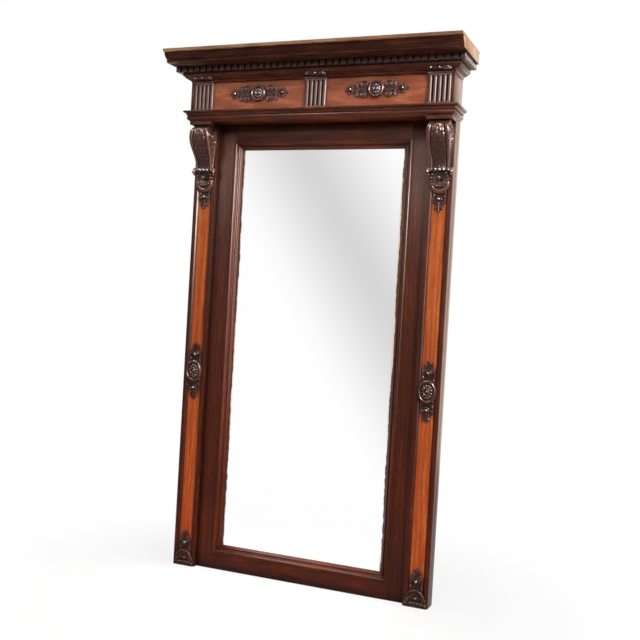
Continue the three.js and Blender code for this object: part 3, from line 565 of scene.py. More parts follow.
class Carving:
    """Closed solids that together make one piece; their x runs from the piece's middle."""

    def __init__(self, middle):
        self.middle = middle
        self.points = []
        self.faces = []
        self.polished = []
        self.count = 0

    def add(self, points, faces, polished=False):
        self.points.append(np.asarray(points, float))
        self.faces += [[self.count + i for i in face] for face in faces]
        self.polished += [int(polished)] * len(faces)
        self.count += len(points)
        return self

    def make(self, name, node, material="carved", slot="dark_wood", flip=False):
        """The piece as a mesh, mirrored to the left where flip is set; it replaces the node."""
        points = np.concatenate(self.points) + (self.middle, 0, 0)
        if flip:
            points = points * (-1, 1, 1)
        x, out, z = points.T * MM
        places = np.column_stack([x, WALL_Y - out, z])
        mesh = bpy.data.meshes.new(name)
        mesh.from_pydata(places.tolist(), [], self.faces)
        mesh.materials.append(materials[material])
        if any(self.polished):
            mesh.materials.append(materials["stud"])
            mesh.polygons.foreach_set("material_index", self.polished)
        skin = bmesh.new()
        skin.from_mesh(mesh)
        bmesh.ops.recalc_face_normals(skin, faces=skin.faces)
        for face in skin.faces:
            face.smooth = True
        for edge in skin.edges:
            edge.smooth = edge.calc_face_angle(0) < SHARP_ANGLE
        skin.to_mesh(mesh)
        skin.free()
        note_hollows(mesh)
        piece = bpy.data.objects.new(name, mesh)
        scene.collection.objects.link(piece)
        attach(piece, "root")
        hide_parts(node)
        return piece


def make_pair(carving, name, node, material="carved"):
    carving.make(name + "_right", node + "_right", material)
    carving.make(name + "_left", node + "_left", material, flip=True)


def tube_faces(rows, columns):
    """Quads between rows of points, each row closed on itself."""
    faces = []
    for i in range(rows - 1):
        low, high = i * columns, (i + 1) * columns
        for j in range(columns):
            k = (j + 1) % columns
            faces.append((low + j, low + k, high + k, high + j))
    return faces


def skin_solid(grid):
    """Closed solid from a grid of rings of points (rows, columns, 3), with a lid at either end."""
    rows, columns, _ = grid.shape
    faces = tube_faces(rows, columns)
    faces.append(tuple(range(columns)))
    faces.append(tuple((rows - 1) * columns + j for j in range(columns)))
    return grid.reshape(-1, 3), faces


def full_circle(segments):
    return np.linspace(0, 2 * math.pi, segments, endpoint=False)


def dome(centre, back, radius, height, rings=26, segments=72, squash=1.0):
    """Round or oval relief on a flat back: height(r, turn) above it, r running from 0 to radius.

    A lid closes the innermost fiftieth of the radius.
    """
    x, z = centre
    radii = radius * np.sqrt(np.linspace(1.0, 0.0004, rings))
    r, turn = np.meshgrid(radii, full_circle(segments), indexing="ij")
    out = back + height(r, turn)
    grid = np.stack([x + squash * r * np.cos(turn), out, z + r * np.sin(turn)], axis=-1)
    foot = grid[:1].copy()
    foot[:, :, 1] = back
    return skin_solid(np.concatenate([foot, grid]))


def ball(x, out, z, radius, around=20, down=12):
    """Ball whose poles, closed by small lids, point up and down."""
    pole = math.pi / 2 - 0.02
    level, turn = np.meshgrid(np.linspace(-pole, pole, down), full_circle(around), indexing="ij")
    ring = radius * np.cos(level)
    places = [x + ring * np.cos(turn), out + ring * np.sin(turn), z + radius * np.sin(level)]
    return skin_solid(np.stack(places, axis=-1))


def arch(t):
    """Half circle's height over t, from 1 in its middle to 0 at -1 and 1."""
    return np.sqrt(np.clip(1 - t ** 2, 0, 1))


def ring_bump(distance, centre, half_width, rise):
    """Rounded ridge of the given rise where distance is within half_width of centre."""
    return rise * arch((distance - centre) / half_width)


def ring_bumps(distance, rings):
    """Sum of rounded ridges, each given by its centre, half width and rise."""
    return sum(ring_bump(distance, *ring) for ring in rings)


def soft_step(value, low, high):
    share = np.clip((value - low) / (high - low), 0, 1)
    return share * share * (3 - 2 * share)


# Signed distances in a plane, negative inside.


def circle(x, z, cx, cz, radius):
    return np.hypot(x - cx, z - cz) - radius


def capsule(x, z, start, end, radius, end_radius=None):
    """Distance to a bar from start to end whose radius may change along it."""
    (ax, az), (bx, bz) = start, end
    length2 = (bx - ax) ** 2 + (bz - az) ** 2
    share = np.clip(((x - ax) * (bx - ax) + (z - az) * (bz - az)) / length2, 0, 1)
    size = radius + ((radius if end_radius is None else end_radius) - radius) * share
    return np.hypot(x - ax - share * (bx - ax), z - az - share * (bz - az)) - size


def block(x, z, cx, cz, half_x, half_z, round_by=0.0):
    dx = np.abs(x - cx) - half_x + round_by
    dz = np.abs(z - cz) - half_z + round_by
    return np.hypot(np.maximum(dx, 0), np.maximum(dz, 0)) + np.minimum(np.maximum(dx, dz), 0) - round_by


def petal(x, z, foot, tip, half_width):
    """Pointed leaf between two points: where two equal circles overlap."""
    (ax, az), (bx, bz) = foot, tip
    half = math.hypot(bx - ax, bz - az) / 2
    along_x, along_z = (bx - ax) / (2 * half), (bz - az) / (2 * half)
    px, pz = x - (ax + bx) / 2, z - (az + bz) / 2
    along = px * along_x + pz * along_z
    across = np.abs(-px * along_z + pz * along_x)
    radius = (half * half + half_width * half_width) / (2 * half_width)
    return np.hypot(along, across + radius - half_width) - radius


def blend(distances, radius):
    """Union of distances with fillets of about the given radius."""
    total = distances[0]
    for other in distances[1:]:
        share = np.clip(0.5 + 0.5 * (other - total) / radius, 0, 1)
        total = other * (1 - share) + total * share - radius * share * (1 - share)
    return total


# A relief's grid points that lie nearer to the outline than this share of a step are moved onto
# it. The slope of the distance is taken over the probe's width in millimetres, and its square
# counts as LEAST_SLOPE where it is less.
SNAP_SHARE = 0.56
PROBE = 0.05
LEAST_SLOPE = 0.2


def relief(extent, outline, height, back, step=0.9):
    """Closed solid over the outline's inside: height(x, z, distance) above a flat back."""
    x0, x1, z0, z1 = extent
    xs = np.arange(x0, x1 + step, step)
    zs = np.arange(z0, z1 + step, step)
    x, z = np.meshgrid(xs, zs, indexing="ij")
    distance = outline(x, z)
    near = np.abs(distance) < SNAP_SHARE * step
    for _ in range(2):
        gx = (outline(x + PROBE, z) - outline(x - PROBE, z)) / (2 * PROBE)
        gz = (outline(x, z + PROBE) - outline(x, z - PROBE)) / (2 * PROBE)
        scale = np.where(near, distance / np.maximum(gx * gx + gz * gz, LEAST_SLOPE), 0)
        x, z = x - scale * gx, z - scale * gz
        distance = outline(x, z)
    inside = near | (distance < 0)
    index = -np.ones(x.shape, int)
    index[inside] = np.arange(inside.sum())
    out = back + height(x, z, np.minimum(distance, 0))
    front = np.column_stack([x[inside], out[inside], z[inside]])
    cells = [index[:-1, :-1], index[1:, :-1], index[1:, 1:], index[:-1, 1:]]
    corners = np.stack(cells, axis=-1).reshape(-1, 4)
    held = (corners >= 0).sum(axis=1)
    faces = [tuple(c) for c in corners[held == 4].tolist()]
    faces += [tuple(i for i in c if i >= 0) for c in corners[held == 3].tolist()]
    count = len(front)
    rim = {}
    for face in faces:
        for a, b in zip(face, face[1:] + face[:1]):
            if (b, a) in rim:
                del rim[(b, a)]
            else:
                rim[(a, b)] = True
    walls = [(b, a, a + count, b + count) for a, b in rim]
    rear = front.copy()
    rear[:, 1] = back
    faces += walls + [tuple(i + count for i in reversed(face)) for face in faces]
    return np.concatenate([front, rear]), faces


# ---------- levels and places of the carved pieces, read from the frame ----------


def node_middle(node):
    low, high = node_box(node)
    return (low + high) / 2


GAP = 0.3
PILASTER_X = node_middle("pilaster_core_right")[0]
RECESS_LOW, RECESS_HIGH = node_box("pilaster_panel_right")
STRAP_HALF = (RECESS_HIGH - RECESS_LOW)[0] / 2 - 0.8
ON_PANEL = RECESS_HIGH[1] + GAP
STRIP_FRONT = node_box("pilaster_strip_inner_right")[1][1]
ON_STRIP = STRIP_FRONT + GAP
CAP_BOTTOM = node_box("pilaster_cap_right")[0][2]
ON_FRIEZE = node_box("frieze_panel_right")[1][1] + GAP

# ---------- strapwork leaves with a stud ----------

STUD_RADIUS = 7.0
LEAF_TIP = 52.0
LEAF_REACH = 31.0
LEAF_CURL = (20.5, 11.0)
LEAF_CURL_RINGS = [(4.6, 1.5, 1.0), (0, 2.2, 1.2)]
PLATE = 6.0
STUD_RISE = 3.6
NOTCH_RADIUS = 6.5


def leaf_outline(x, z):
    """Strap end round a stud at (0, 0): curls at its shoulders and a leaf of three lobes above."""
    x = np.abs(x)
    neck = capsule(x, z, (0, 4), (0, 34), 12, 7)
    shoulder = circle(x, z, *LEAF_CURL, 6.3)
    lobe = petal(x, z, (3, 26), (17.5, 39), 5.6)
    tip = petal(x, z, (0, 26), (0, LEAF_TIP), 7.0)
    wing = petal(x, z, (6, 18), (19, 25), 4.2)
    return blend([neck, shoulder, lobe, tip, wing], 2.2)


def leaf_height(x, z, plate):
    """Veins, rolled curls and the swell of a strap end's leaf."""
    side = np.abs(x)
    vein = ring_bump(side, 0, 1.5, 1.5) * soft_step(z, 10, 16) * (1 - soft_step(z, 46, 51))
    lobe_vein = ring_bump(np.abs((z - 26) - (side - 3) * 0.9), 0, 1.4, 1.2) * soft_step(side, 3, 6)
    curls = ring_bumps(circle(side, z, *LEAF_CURL, 0), LEAF_CURL_RINGS)
    swell = 0.8 * soft_step(z, 20, 44)
    return plate + vein + lobe_vein * soft_step(z, 24, 30) + curls + swell


def rounded(distance, edge=1.6):
    """Share of full height near an outline, so that the plate's edge is rolled over."""
    return arch(1 - np.clip(-distance / edge, 0, 1))


def strap_leaf(carving, stud_z, pointing, tail, plate=PLATE):
    """Strap end in the pilaster's recess: leaf up (1) or down (-1), tail back past the stud."""
    def outline(x, z):
        w = (z - stud_z) * pointing
        strap = block(x, w, 0, -tail / 2, STRAP_HALF, tail / 2 + 5, 2.0)
        notch = circle(np.abs(x), w, STRAP_HALF + 1.5, -tail * 0.42, NOTCH_RADIUS)
        return np.maximum(blend([strap, leaf_outline(x, w)], 2.0), -notch)

    def height(x, z, distance):
        w = (z - stud_z) * pointing
        strap_share = 1 - soft_step(w, 8, 14)
        rim = ring_bump(-distance, 2.6, 1.5, 0.9) * strap_share
        ground = soft_step(-distance, 4.0, 5.5) * strap_share
        seat = ring_bump(np.hypot(x, w), STUD_RADIUS + 2.6, 1.6, 1.5)
        full = leaf_height(x, w, plate) + rim - ground + seat
        return np.maximum(full * (0.35 + 0.65 * rounded(distance)), 0.8)

    ends = (stud_z - pointing * (tail + 6), stud_z + pointing * (LEAF_TIP + 2))
    extent = (-LEAF_REACH, LEAF_REACH, min(ends), max(ends))
    carving.add(*relief(extent, outline, height, ON_PANEL))
    carving.add(*ball(0, ON_PANEL + plate + STUD_RISE, stud_z, STUD_RADIUS), polished=True)


# ---------- pilaster ornaments ----------

BOSS_RADIUS = 46.5
BOSS_HALF_WIDTH = 37.0

# Rings of a boss: centre, half width and rise of the broad one, the inner one and the two of the
# button. Its beads: radius of their ring, count, length and rise.
BOSS_RINGS = [(39.0, 7.5, 9.5), (14.2, 3.4, 6.0), (6.8, 1.9, 4.0), (0, 3.8, 6.5)]
BOSS_BEADS = (24.5, 12, 12.5, 5.5)


def bead_ring(r, turn, radius, count, length, rise):
    """Ring of rounded beads, side by side at the given radius; each is length long along r."""
    beside = np.abs(((turn / (2 * math.pi) * count) % 1) - 0.5) * 2
    return rise * arch(np.hypot((r - radius) / (length / 2), beside))


def boss_height(r, turn):
    """Broad smooth ring round a dome with a ring of beads, an inner ring, a dish and a button."""
    dome_rise = 4.0 + 8.5 * (1 - soft_step(r, 4, 34))
    dish = 3.0 * (1 - soft_step(r, 7.5, 11.5))
    fall = 2.0 * soft_step(r, 45, BOSS_RADIUS)
    ornament = ring_bumps(r, BOSS_RINGS) + bead_ring(r, turn, *BOSS_BEADS)
    return np.maximum(dome_rise + ornament - dish - fall, 2.0)


def add_bosses():
    """Round bosses over plaques with a strap end above and below."""
    boss_z = node_middle("boss_right")[2]
    boss = Carving(PILASTER_X).add(*dome(
        (0, boss_z), ON_STRIP, BOSS_RADIUS, boss_height,
        rings=60, segments=144, squash=BOSS_HALF_WIDTH / BOSS_RADIUS,
    ))
    make_pair(boss, "carved_boss", "boss")
    low, high = node_box("boss_plaque_right")
    stud = (high[2] - low[2]) / 2 - LEAF_TIP
    plaque = Carving(PILASTER_X)
    for pointing in (1, -1):
        strap_leaf(plaque, boss_z + pointing * stud, pointing, stud - 22)
    make_pair(plaque, "carved_plaque", "boss_plaque", "leaf")


def add_drops():
    low, high = node_box("drop_right")
    stud_z = low[2] + LEAF_TIP
    drop = Carving(PILASTER_X)
    strap_leaf(drop, stud_z, -1, high[2] - stud_z)
    make_pair(drop, "carved_drop", "drop", "leaf")


# ---------- feet ----------

FAN_RADIUS = 38.0
FAN_Z = 32.0
FAN_RIM = 7.0
FAN_RAYS = 7
FOOT_HALF = 46.0
FOOT_TOP = 71.0
FOOT_STUD_Z = 99.0
FOOT_SCROLL = (33.0, 27.0)
FOOT_SCROLL_RINGS = [(6.4, 2.0, 3.6), (0, 3.0, 4.0)]
FAN_RINGS = [(FAN_RADIUS - 3.6, 3.4, 6.0), (0, 9.5, 6.5)]
FOOT_LEAF_PITCH = 15.3


def scale_rows(start, end, first, last):
    """Levels between rows of scales from start to end; their pitch runs from first to last."""
    rows = [start]
    while rows[-1] < end:
        share = (rows[-1] - start) / (end - start)
        rows.append(rows[-1] + first + (last - first) * share)
    return rows


def scales(x, s, rows, rise):
    """Overlapping rounded scales in staggered rows; x across, s along the rows' fall."""
    best = np.zeros_like(x)
    widest = rows[1] - rows[0]
    for number, (top, foot) in enumerate(zip(rows, rows[1:])):
        pitch = foot - top
        width = 1.3 * pitch
        shift = 0.5 * (number % 2)
        column = np.round(x / width - shift) + shift
        uneven = np.sin(7.3 * column + 3.1 * number)
        across = (x - column * width) / (0.60 * width)
        along = (s - top - (0.4 + 0.14 * uneven) * pitch) / (0.95 * pitch)
        away = np.minimum(np.hypot(across, along), 1)
        rise_along = 0.2 + 0.8 * np.clip((along + 1) / 2, 0, 1)
        lift = rise_along * np.sqrt(1 - away ** 3) * (1 + 0.15 * uneven)
        vein = 0.12 * np.clip(1 - np.abs(across) / 0.2, 0, 1)
        best = np.maximum(best, (lift - vein) * pitch / widest)
    return rise * best


def foot_outline(x, z):
    fan = np.maximum(circle(x, z, 0, FAN_Z, FAN_RADIUS), FAN_Z - z - 1)
    plinth = block(x, z, 0, 11, FOOT_HALF, 11, 1.0)
    shoulder = block(x, z, 0, 28, FOOT_HALF - 3, 7, 3.0)
    return blend([fan, plinth, shoulder], 1.5)


def foot_height(x, z, distance):
    """Fan of rays and scales with a rim and a hub, over scrolls, a row of leaves and a plinth."""
    side = np.abs(x)
    r = circle(x, z, 0, FAN_Z, 0)
    turn = np.arctan2(z - FAN_Z, x)
    within = r < FAN_RADIUS - FAN_RIM
    ray = np.abs(((turn / math.pi * FAN_RAYS) % 1) - 0.5) * 2
    rays = 2.2 * arch(ray) * soft_step(r, 10, 15) * within
    weave = scales(x, r, scale_rows(0, FAN_RADIUS, 6.5, 6.5), 1.3) * within
    above = soft_step(z, FAN_Z - 2, FAN_Z + 1)
    fan = (rays + weave + ring_bumps(r, FAN_RINGS)) * above
    scrolls = ring_bumps(circle(side, z, *FOOT_SCROLL, 0), FOOT_SCROLL_RINGS)
    row = ring_bump(np.abs(z - 17 + 0.10 * side), 0, 4.6, 5.5) * (side < FOOT_HALF)
    leaves = row * ring_bump(side % FOOT_LEAF_PITCH, 7.6, 7.6, 1.0)
    plinth = 3.0 * (1 - soft_step(z, 8, 11))
    full = 3.6 + plinth + fan + scrolls * (1 - above * 0.3) + leaves
    return np.maximum(full * (0.5 + 0.5 * rounded(distance, 1.2)), 1.0)


def add_feet():
    foot = Carving(PILASTER_X)
    extent = (-FOOT_HALF - 1, FOOT_HALF + 1, 0, FOOT_TOP)
    foot.add(*relief(extent, foot_outline, foot_height, ON_STRIP, step=0.8))
    strap_leaf(foot, FOOT_STUD_Z, 1, FOOT_STUD_Z - FAN_Z - 12, PLATE + 1)
    make_pair(foot, "carved_foot", "foot_ornament", "leaf")


# ---------- frieze: fretwork and rosettes ----------

FRET_RING = (51.0, 19.5, 14.8)
FRET_EYE_RINGS = [(12.2, 2.4, 2.6), (5.4, 1.8, 1.8), (0, 2.4, 2.4)]
FRET_LOBE = 78.0
FRET_STUD = 107.0
FRET_PLATE = 4.6
FRET_REACH = (132.0, 36.0)


def fret_outline(u, w):
    """Strap with rings, lobes and a pointed end with a stud's seat, the same in each quarter."""
    a, b = np.abs(u), np.abs(w)
    strap = block(a, b, 0, 0, 100, 8.5, 3)
    ring = circle(a, b, *FRET_RING)
    bar = capsule(a, b, (FRET_LOBE, 0), (FRET_LOBE, 14), 4.5)
    lobe = petal(a, b, (FRET_LOBE - 2, 8), (FRET_LOBE + 3, 31), 7.5)
    lobe_curl = circle(a, b, 70.5, 17.5, 4.6)
    seat = circle(a, b, FRET_STUD, 0, 11.0)
    tip = petal(a, b, (FRET_STUD, 0), (131, 0), 8.0)
    wing = petal(a, b, (FRET_STUD - 4, 2), (FRET_STUD + 9, 21.5), 6.2)
    hook = petal(a, b, (FRET_STUD - 6, 4), (FRET_STUD - 16, 17.5), 4.6)
    return blend([strap, ring, bar, lobe, lobe_curl, seat, tip, wing, hook], 1.8)


def fret_height(u, w, distance):
    a, b = np.abs(u), np.abs(w)
    along, across, radius = FRET_RING
    r = circle(a, b, along, across, 0)
    rings = ring_bumps(r, FRET_EYE_RINGS)
    sunk = 1.2 * soft_step(-distance, 2.4, 3.6) * (r > radius) * (a < 98)
    rim = ring_bump(-distance, 1.8, 1.5, 0.9) * (r > radius)
    vein = ring_bump(b, 0, 1.3, 1.2) * soft_step(a, 114, 118)
    bar = ring_bump(np.abs(a - FRET_LOBE), 0, 1.8, 1.3) * (b > 3)
    seat = ring_bump(np.hypot(a - FRET_STUD, b), STUD_RADIUS + 2.2, 1.5, 1.4)
    pearl = ring_bump(np.hypot((a % 11) - 5.5, b), 0, 2.6, 2.4) * (a < 94) * (a > 34)
    full = FRET_PLATE + rings - sunk + rim + vein + bar + seat + pearl
    return np.maximum(full * (0.35 + 0.65 * rounded(distance, 1.4)), 0.8)


ROSETTE_RADIUS = 33.0
ROSETTE_RINGS = [(27.6, 5.4, 8.0), (8.2, 2.3, 3.6), (0, 3.9, 5.0)]
ROSETTE_PETALS = (16.6, 10, 10.5, 4.6)


def rosette_height(r, turn):
    """Smooth rim round a dome with ten petals, an inner ring and a button."""
    ground = 2.5 + 8.5 * (1 - soft_step(r, 3, 25)) - 1.5 * soft_step(r, 32, ROSETTE_RADIUS)
    return ground + ring_bumps(r, ROSETTE_RINGS) + bead_ring(r, turn, *ROSETTE_PETALS)


def add_frieze_ornaments():
    middle, _, fret_z = node_middle("frieze_fret_right")
    reach, tall = FRET_REACH
    fret = Carving(middle)
    fret.add(*relief(
        (-reach, reach, fret_z - tall, fret_z + tall),
        lambda x, z: fret_outline(x, z - fret_z),
        lambda x, z, distance: fret_height(x, z - fret_z, distance),
        ON_FRIEZE,
    ))
    for x in (-FRET_STUD, FRET_STUD):
        fret.add(*ball(x, ON_FRIEZE + FRET_PLATE + 3.4, fret_z, STUD_RADIUS), polished=True)
    make_pair(fret, "carved_fret", "frieze_fret", "fret")
    seat = ON_FRIEZE + FRET_PLATE + GAP
    rosette = Carving(middle).add(*dome(
        (0, fret_z), seat, ROSETTE_RADIUS, rosette_height, rings=60, segments=140,
    ))
    make_pair(rosette, "carved_rosette", "rosette", "rosette")


# ---------- frieze: fluted blocks with studded caps ----------

FLUTE_PITCH = 18.7
FLUTE_HALF = 3.5
FLUTE_DEPTH = 6.5
FLUTE_MARGIN = 7.0
RIDGE_CROWN = 9.0
BLOCK_ARRIS = 0.8
BLOCK_CAP_HEIGHT = 20.5
BLOCK_CAP_PROJECTION = 18.0
BLOCK_CAP_OVERHANG = 2.0
BLOCK_STUD = {"pitch": 34.0, "radius": 5.5, "drop": 3.3}


def front_surface(node, x, z):
    """How far out the front of a CAD node lies at (x, z)."""
    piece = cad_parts[node]
    corners = [piece.matrix_world @ v.co for v in piece.data.vertices]
    tree = BVHTree.FromPolygons(corners, [tuple(p.vertices) for p in piece.data.polygons])
    start = Vector((x * MM, WALL_Y - 1.0, z * MM))
    return (WALL_Y - tree.ray_cast(start, Vector((0, 1, 0)))[0].y) / MM


def fluted_shaft(half, foot, top, back, thickness):
    """Block with rounded ridges between flutes that end short of its foot and its cap."""
    half_pitch = FLUTE_PITCH / 2
    margin = FLUTE_MARGIN + FLUTE_HALF

    def outline(x, z):
        return block(x, z, 0, (foot + top) / 2, half, (top - foot) / 2, BLOCK_ARRIS)

    def height(x, z, distance):
        side = np.abs(x)
        beside = np.abs(side % FLUTE_PITCH - half_pitch)
        past = np.maximum(z - (top - margin), foot + margin - z)
        groove = np.hypot(beside, np.maximum(past, 0))
        groove = np.where(side < 2 * FLUTE_PITCH, groove, FLUTE_HALF)
        crown = RIDGE_CROWN * (1 - arch(1 - beside / half_pitch))
        crown = crown * (1 - soft_step(past, 0, FLUTE_HALF))
        cut = FLUTE_DEPTH * arch(groove / FLUTE_HALF)
        return thickness - crown - cut - 0.9 * (1 - rounded(distance, 1.2))

    return relief((-half, half, foot, top), outline, height, back, step=1.0)


def block_cap(half, foot, top, face):
    """Cap that breaks out over the bed moulding: a hollow below, a band, and a bevelled top."""
    front = face + BLOCK_CAP_PROJECTION
    bed_foot = node_box("bed_moulding_front")[0][2]
    levels = np.linspace(bed_foot + 0.6, top - 1.5, 6)
    behind = [(front_surface("bed_moulding_front", 0, z) + GAP, z) for z in levels[::-1]]
    hollow = [
        (face + (BLOCK_CAP_PROJECTION - 1) * (1 - math.cos(turn)), foot + 8.0 * math.sin(turn))
        for turn in np.linspace(0.5, 1.4, 5)
    ]
    profile = [(face - 4, foot), (face + 2, foot), *hollow, (front, foot + 9), (front, top - 0.5)]
    middle_out, middle_z = front - 12, (foot + top) / 2
    inner = half - BLOCK_ARRIS
    rings = []
    for x, shrink in ((-half, BLOCK_ARRIS), (-inner, 0), (inner, 0), (half, BLOCK_ARRIS)):
        rings.append([
            (x, out + np.sign(middle_out - out) * shrink, z + np.sign(middle_z - z) * shrink)
            for out, z in profile + behind
        ])
    return skin_solid(np.array(rings))


def add_fluted_blocks():
    for side in ("left", "centre", "right"):
        node = "fluted_block_" + side
        low, high = node_box(node)
        cap_half = (high[0] - low[0]) / 2
        half = cap_half - BLOCK_CAP_OVERHANG
        cap_foot = high[2] - BLOCK_CAP_HEIGHT
        cap_front = high[1] - BLOCK_STUD["radius"]
        face = cap_front - BLOCK_CAP_PROJECTION
        piece = Carving(node_middle(node)[0])
        piece.add(*fluted_shaft(half, low[2], cap_foot, low[1], face - low[1]))
        piece.add(*block_cap(cap_half, cap_foot + GAP, high[2], face))
        for i in (-1, 0, 1):
            place = (i * BLOCK_STUD["pitch"], cap_front, high[2] - BLOCK_STUD["drop"])
            piece.add(*ball(*place, BLOCK_STUD["radius"]), polished=True)
        piece.make("carved_block_" + side, node, "ridge")


# ---------- corbels ----------

SCROLL_FRONT = 138.0
SCROLL_DROP = 40.0
ROLL_DROP = 170.0
ROLL_OUT = STRIP_FRONT + 12
BROW = 20.0

# Drop below the cap and half width of the corbel there.
CORBEL_WIDTHS = [
    (0, 40.5), (20, 43.5), (45, 45.5), (66, 45), (95, 42), (114, 39.5), (140, 37.4), (175, 36.5),
]

# Circles that make the hollow in a flank: distance from the pilaster, drop and radius.
COMMA = [(18, 50, 13), (24, 70, 8)]
COMMA_DEPTH = 9.0
FLANK_DEPTH = 2.2
BORDER = {"top": 8.6, "foot": 4.6, "rise": 6.0}
BORDER_GROOVE = 3.2
SCALE_PITCH = (23.0, 12.0)
SCALE_RISE = 11.0


def corbel_front(steps=150):
    """Drop below the cap, distance out and run along the front, from the brow to the roll."""
    turn = np.linspace(0, math.pi / 2, 24)
    brow = np.column_stack([BROW * (1 - np.cos(turn)), SCROLL_FRONT - BROW * (1 - np.sin(turn))])
    t = np.linspace(0, 1, steps)[1:, None]
    fall = ROLL_DROP - SCROLL_DROP
    nodes = [
        (SCROLL_DROP - 18, SCROLL_FRONT), (SCROLL_DROP + fall * 0.35, SCROLL_FRONT),
        (ROLL_DROP - fall * 0.48, ROLL_OUT + 4), (ROLL_DROP, ROLL_OUT + 2),
    ]
    a, b, c, d = [np.array(p) for p in nodes]
    curve = (1 - t) ** 3 * a + 3 * t * (1 - t) ** 2 * b + 3 * t * t * (1 - t) * c + t ** 3 * d
    line = np.concatenate([brow, curve])
    run = np.concatenate([[0], np.cumsum(np.hypot(*np.diff(line, axis=0).T))])
    return line[:, 0], line[:, 1], run


def corbel_relief(x, s, half):
    """Height over the front's curve: a roll along either edge, a groove and a field of scales."""
    edge = half - np.abs(x)
    border = BORDER["top"] + (BORDER["foot"] - BORDER["top"]) * soft_step(s, 20, 150)
    field_half = half - 2 * border - BORDER_GROOVE
    roll = ring_bump(edge, border, border, BORDER["rise"])
    groove = 4.5 * soft_step(edge, 1.8 * border, 2 * border + 1)
    swell = 3.5 * arch(x / field_half)
    leafage = scales(x, s, scale_rows(0, s.max(), *SCALE_PITCH), SCALE_RISE)
    return roll - groove + swell + np.where(np.abs(x) < field_half, leafage, 0)


def corbel_flank(edge, drop, side):
    """Flank from the front's edge back to the pilaster, on the right (1) or the left (-1).

    It is sunk inside a fillet, with a deep hollow like a comma below the volute.
    """
    x, out, z = (edge[:, axis:axis + 1] for axis in range(3))
    depth = out - (out - ON_STRIP) * np.linspace(0, 1, 44)
    drop = drop[:, None]
    behind = depth - ON_STRIP
    field = soft_step(out - depth, 5.5, 8.0) * soft_step(behind, 4.0, 6.5) * soft_step(drop, 64, 72)
    comma = np.minimum(*(circle(behind, drop, *place) for place in COMMA))
    sunk = FLANK_DEPTH * field + COMMA_DEPTH * soft_step(-comma, -1.0, 5.0)
    return np.stack([x - side * sunk, depth, np.broadcast_to(z, depth.shape)], axis=-1)[:, 1:]


def corbel_shaft():
    drop, front, run = corbel_front()
    across, level = np.meshgrid(np.linspace(-1, 1, 99), np.arange(len(drop)))
    half = np.interp(drop, *zip(*CORBEL_WIDTHS))[level]
    x = across * half
    lifted = corbel_relief(x, run[level], half)
    # The relief stands off along the front's own normal, but never downwards.
    d_drop, d_out = np.gradient(drop), np.gradient(front)
    size = np.hypot(d_drop, d_out)
    out = front[level] + lifted * (d_drop / size)[level]
    z = CAP_BOTTOM - drop[level] + lifted * np.maximum(d_out / size, 0)[level]
    face = np.stack([x, out, np.minimum(z, CAP_BOTTOM - GAP)], axis=-1)
    right = corbel_flank(face[:, -1], drop, 1)
    left = corbel_flank(face[:, 0], drop, -1)
    return skin_solid(np.concatenate([face, right, left[:, ::-1]], axis=1))


def to_side(points, side, centre):
    """Turns a relief that faces forward so that it faces right (1) or left (-1)."""
    x, out, z = points.T
    return np.column_stack([side * out, centre + side * x, z])


VOLUTE_RADIUS = 26.0
VOLUTE_PITCH = 9.5
VOLUTE_BACK = 41.0


def volute_height(r, turn):
    """Spiral roll that winds in to an eye."""
    phase = (r / VOLUTE_PITCH - turn / (2 * math.pi)) % 1
    roll = 4.4 * arch((phase - 0.5) / 0.42) * soft_step(r, 5.5, 8)
    eye = ring_bump(r, 0, 5.6, 5.6)
    return 1.2 + roll + eye - soft_step(r, 24.6, VOLUTE_RADIUS)


def add_volutes(corbel):
    place = (0, CAP_BOTTOM - SCROLL_DROP + 8)
    for side in (1, -1):
        points, faces = dome(
            place, VOLUTE_BACK, VOLUTE_RADIUS,
            lambda r, turn: volute_height(r, turn if side > 0 else math.pi - turn),
            rings=44, segments=96,
        )
        corbel.add(to_side(points, side, SCROLL_FRONT - VOLUTE_RADIUS), faces)


# Half of the roll's outline: x from its middle and radius.
ROLL_HALF = [
    (0, 7.6), (30, 7.6), (34, 9.2), (37, 7.0), (39.5, 6.0),
    (42, 8.6), (45, 10.4), (48.5, 10.4), (51, 8.0), (52, 3.5),
]
# Balls at the roll's ends and below them, and beads along its front.
END_BALL = {"x": 47, "out": 6, "drop": 7, "radius": 8.2}
LOWER_BALL = {"x": 45, "out": 2, "drop": 17, "radius": 5.6}
ROLL_BEAD = {"pitch": 16.5, "out": 7.5, "radius": 8.0}


def turned_across(profile, out, z, segments=36):
    """Form turned about a level axis, from a profile of (x, radius)."""
    turns = full_circle(segments)
    x, radius = (np.array(column)[:, None] for column in zip(*profile))
    rings = [x + 0 * turns, out + radius * np.cos(turns), z + radius * np.sin(turns)]
    return skin_solid(np.stack(rings, axis=-1))


def add_roll(corbel, z):
    profile = [(-x, radius) for x, radius in reversed(ROLL_HALF[1:])] + ROLL_HALF
    corbel.add(*turned_across(profile, ROLL_OUT, z))
    for side in (-1, 1):
        for made, polished in ((END_BALL, True), (LOWER_BALL, False)):
            place = (side * made["x"], ROLL_OUT + made["out"], z - made["drop"])
            corbel.add(*ball(*place, made["radius"]), polished=polished)
    for i in (-1, 0, 1):
        place = (i * ROLL_BEAD["pitch"], ROLL_OUT + ROLL_BEAD["out"], z)
        corbel.add(*ball(*place, ROLL_BEAD["radius"], 24, 14), polished=True)


CUP_RADIUS = 38.0
CUP_DROP = 31.0
CUP_BEADS = (32.5, 15, 10.5, 8.5)
STEM = (0, 6.0, 14.0)
BUTTON = {"out": 19.0, "radius": 7.4}


def cup_height(r, turn):
    """Hollow dish with a ring of beads round its rim and the stem of a button in its middle."""
    dish = 4.0 + 2.5 * soft_step(r, 12, 29) - 2.0 * soft_step(r, 33, CUP_RADIUS)
    return dish + bead_ring(r, turn, *CUP_BEADS) + ring_bump(r, *STEM)


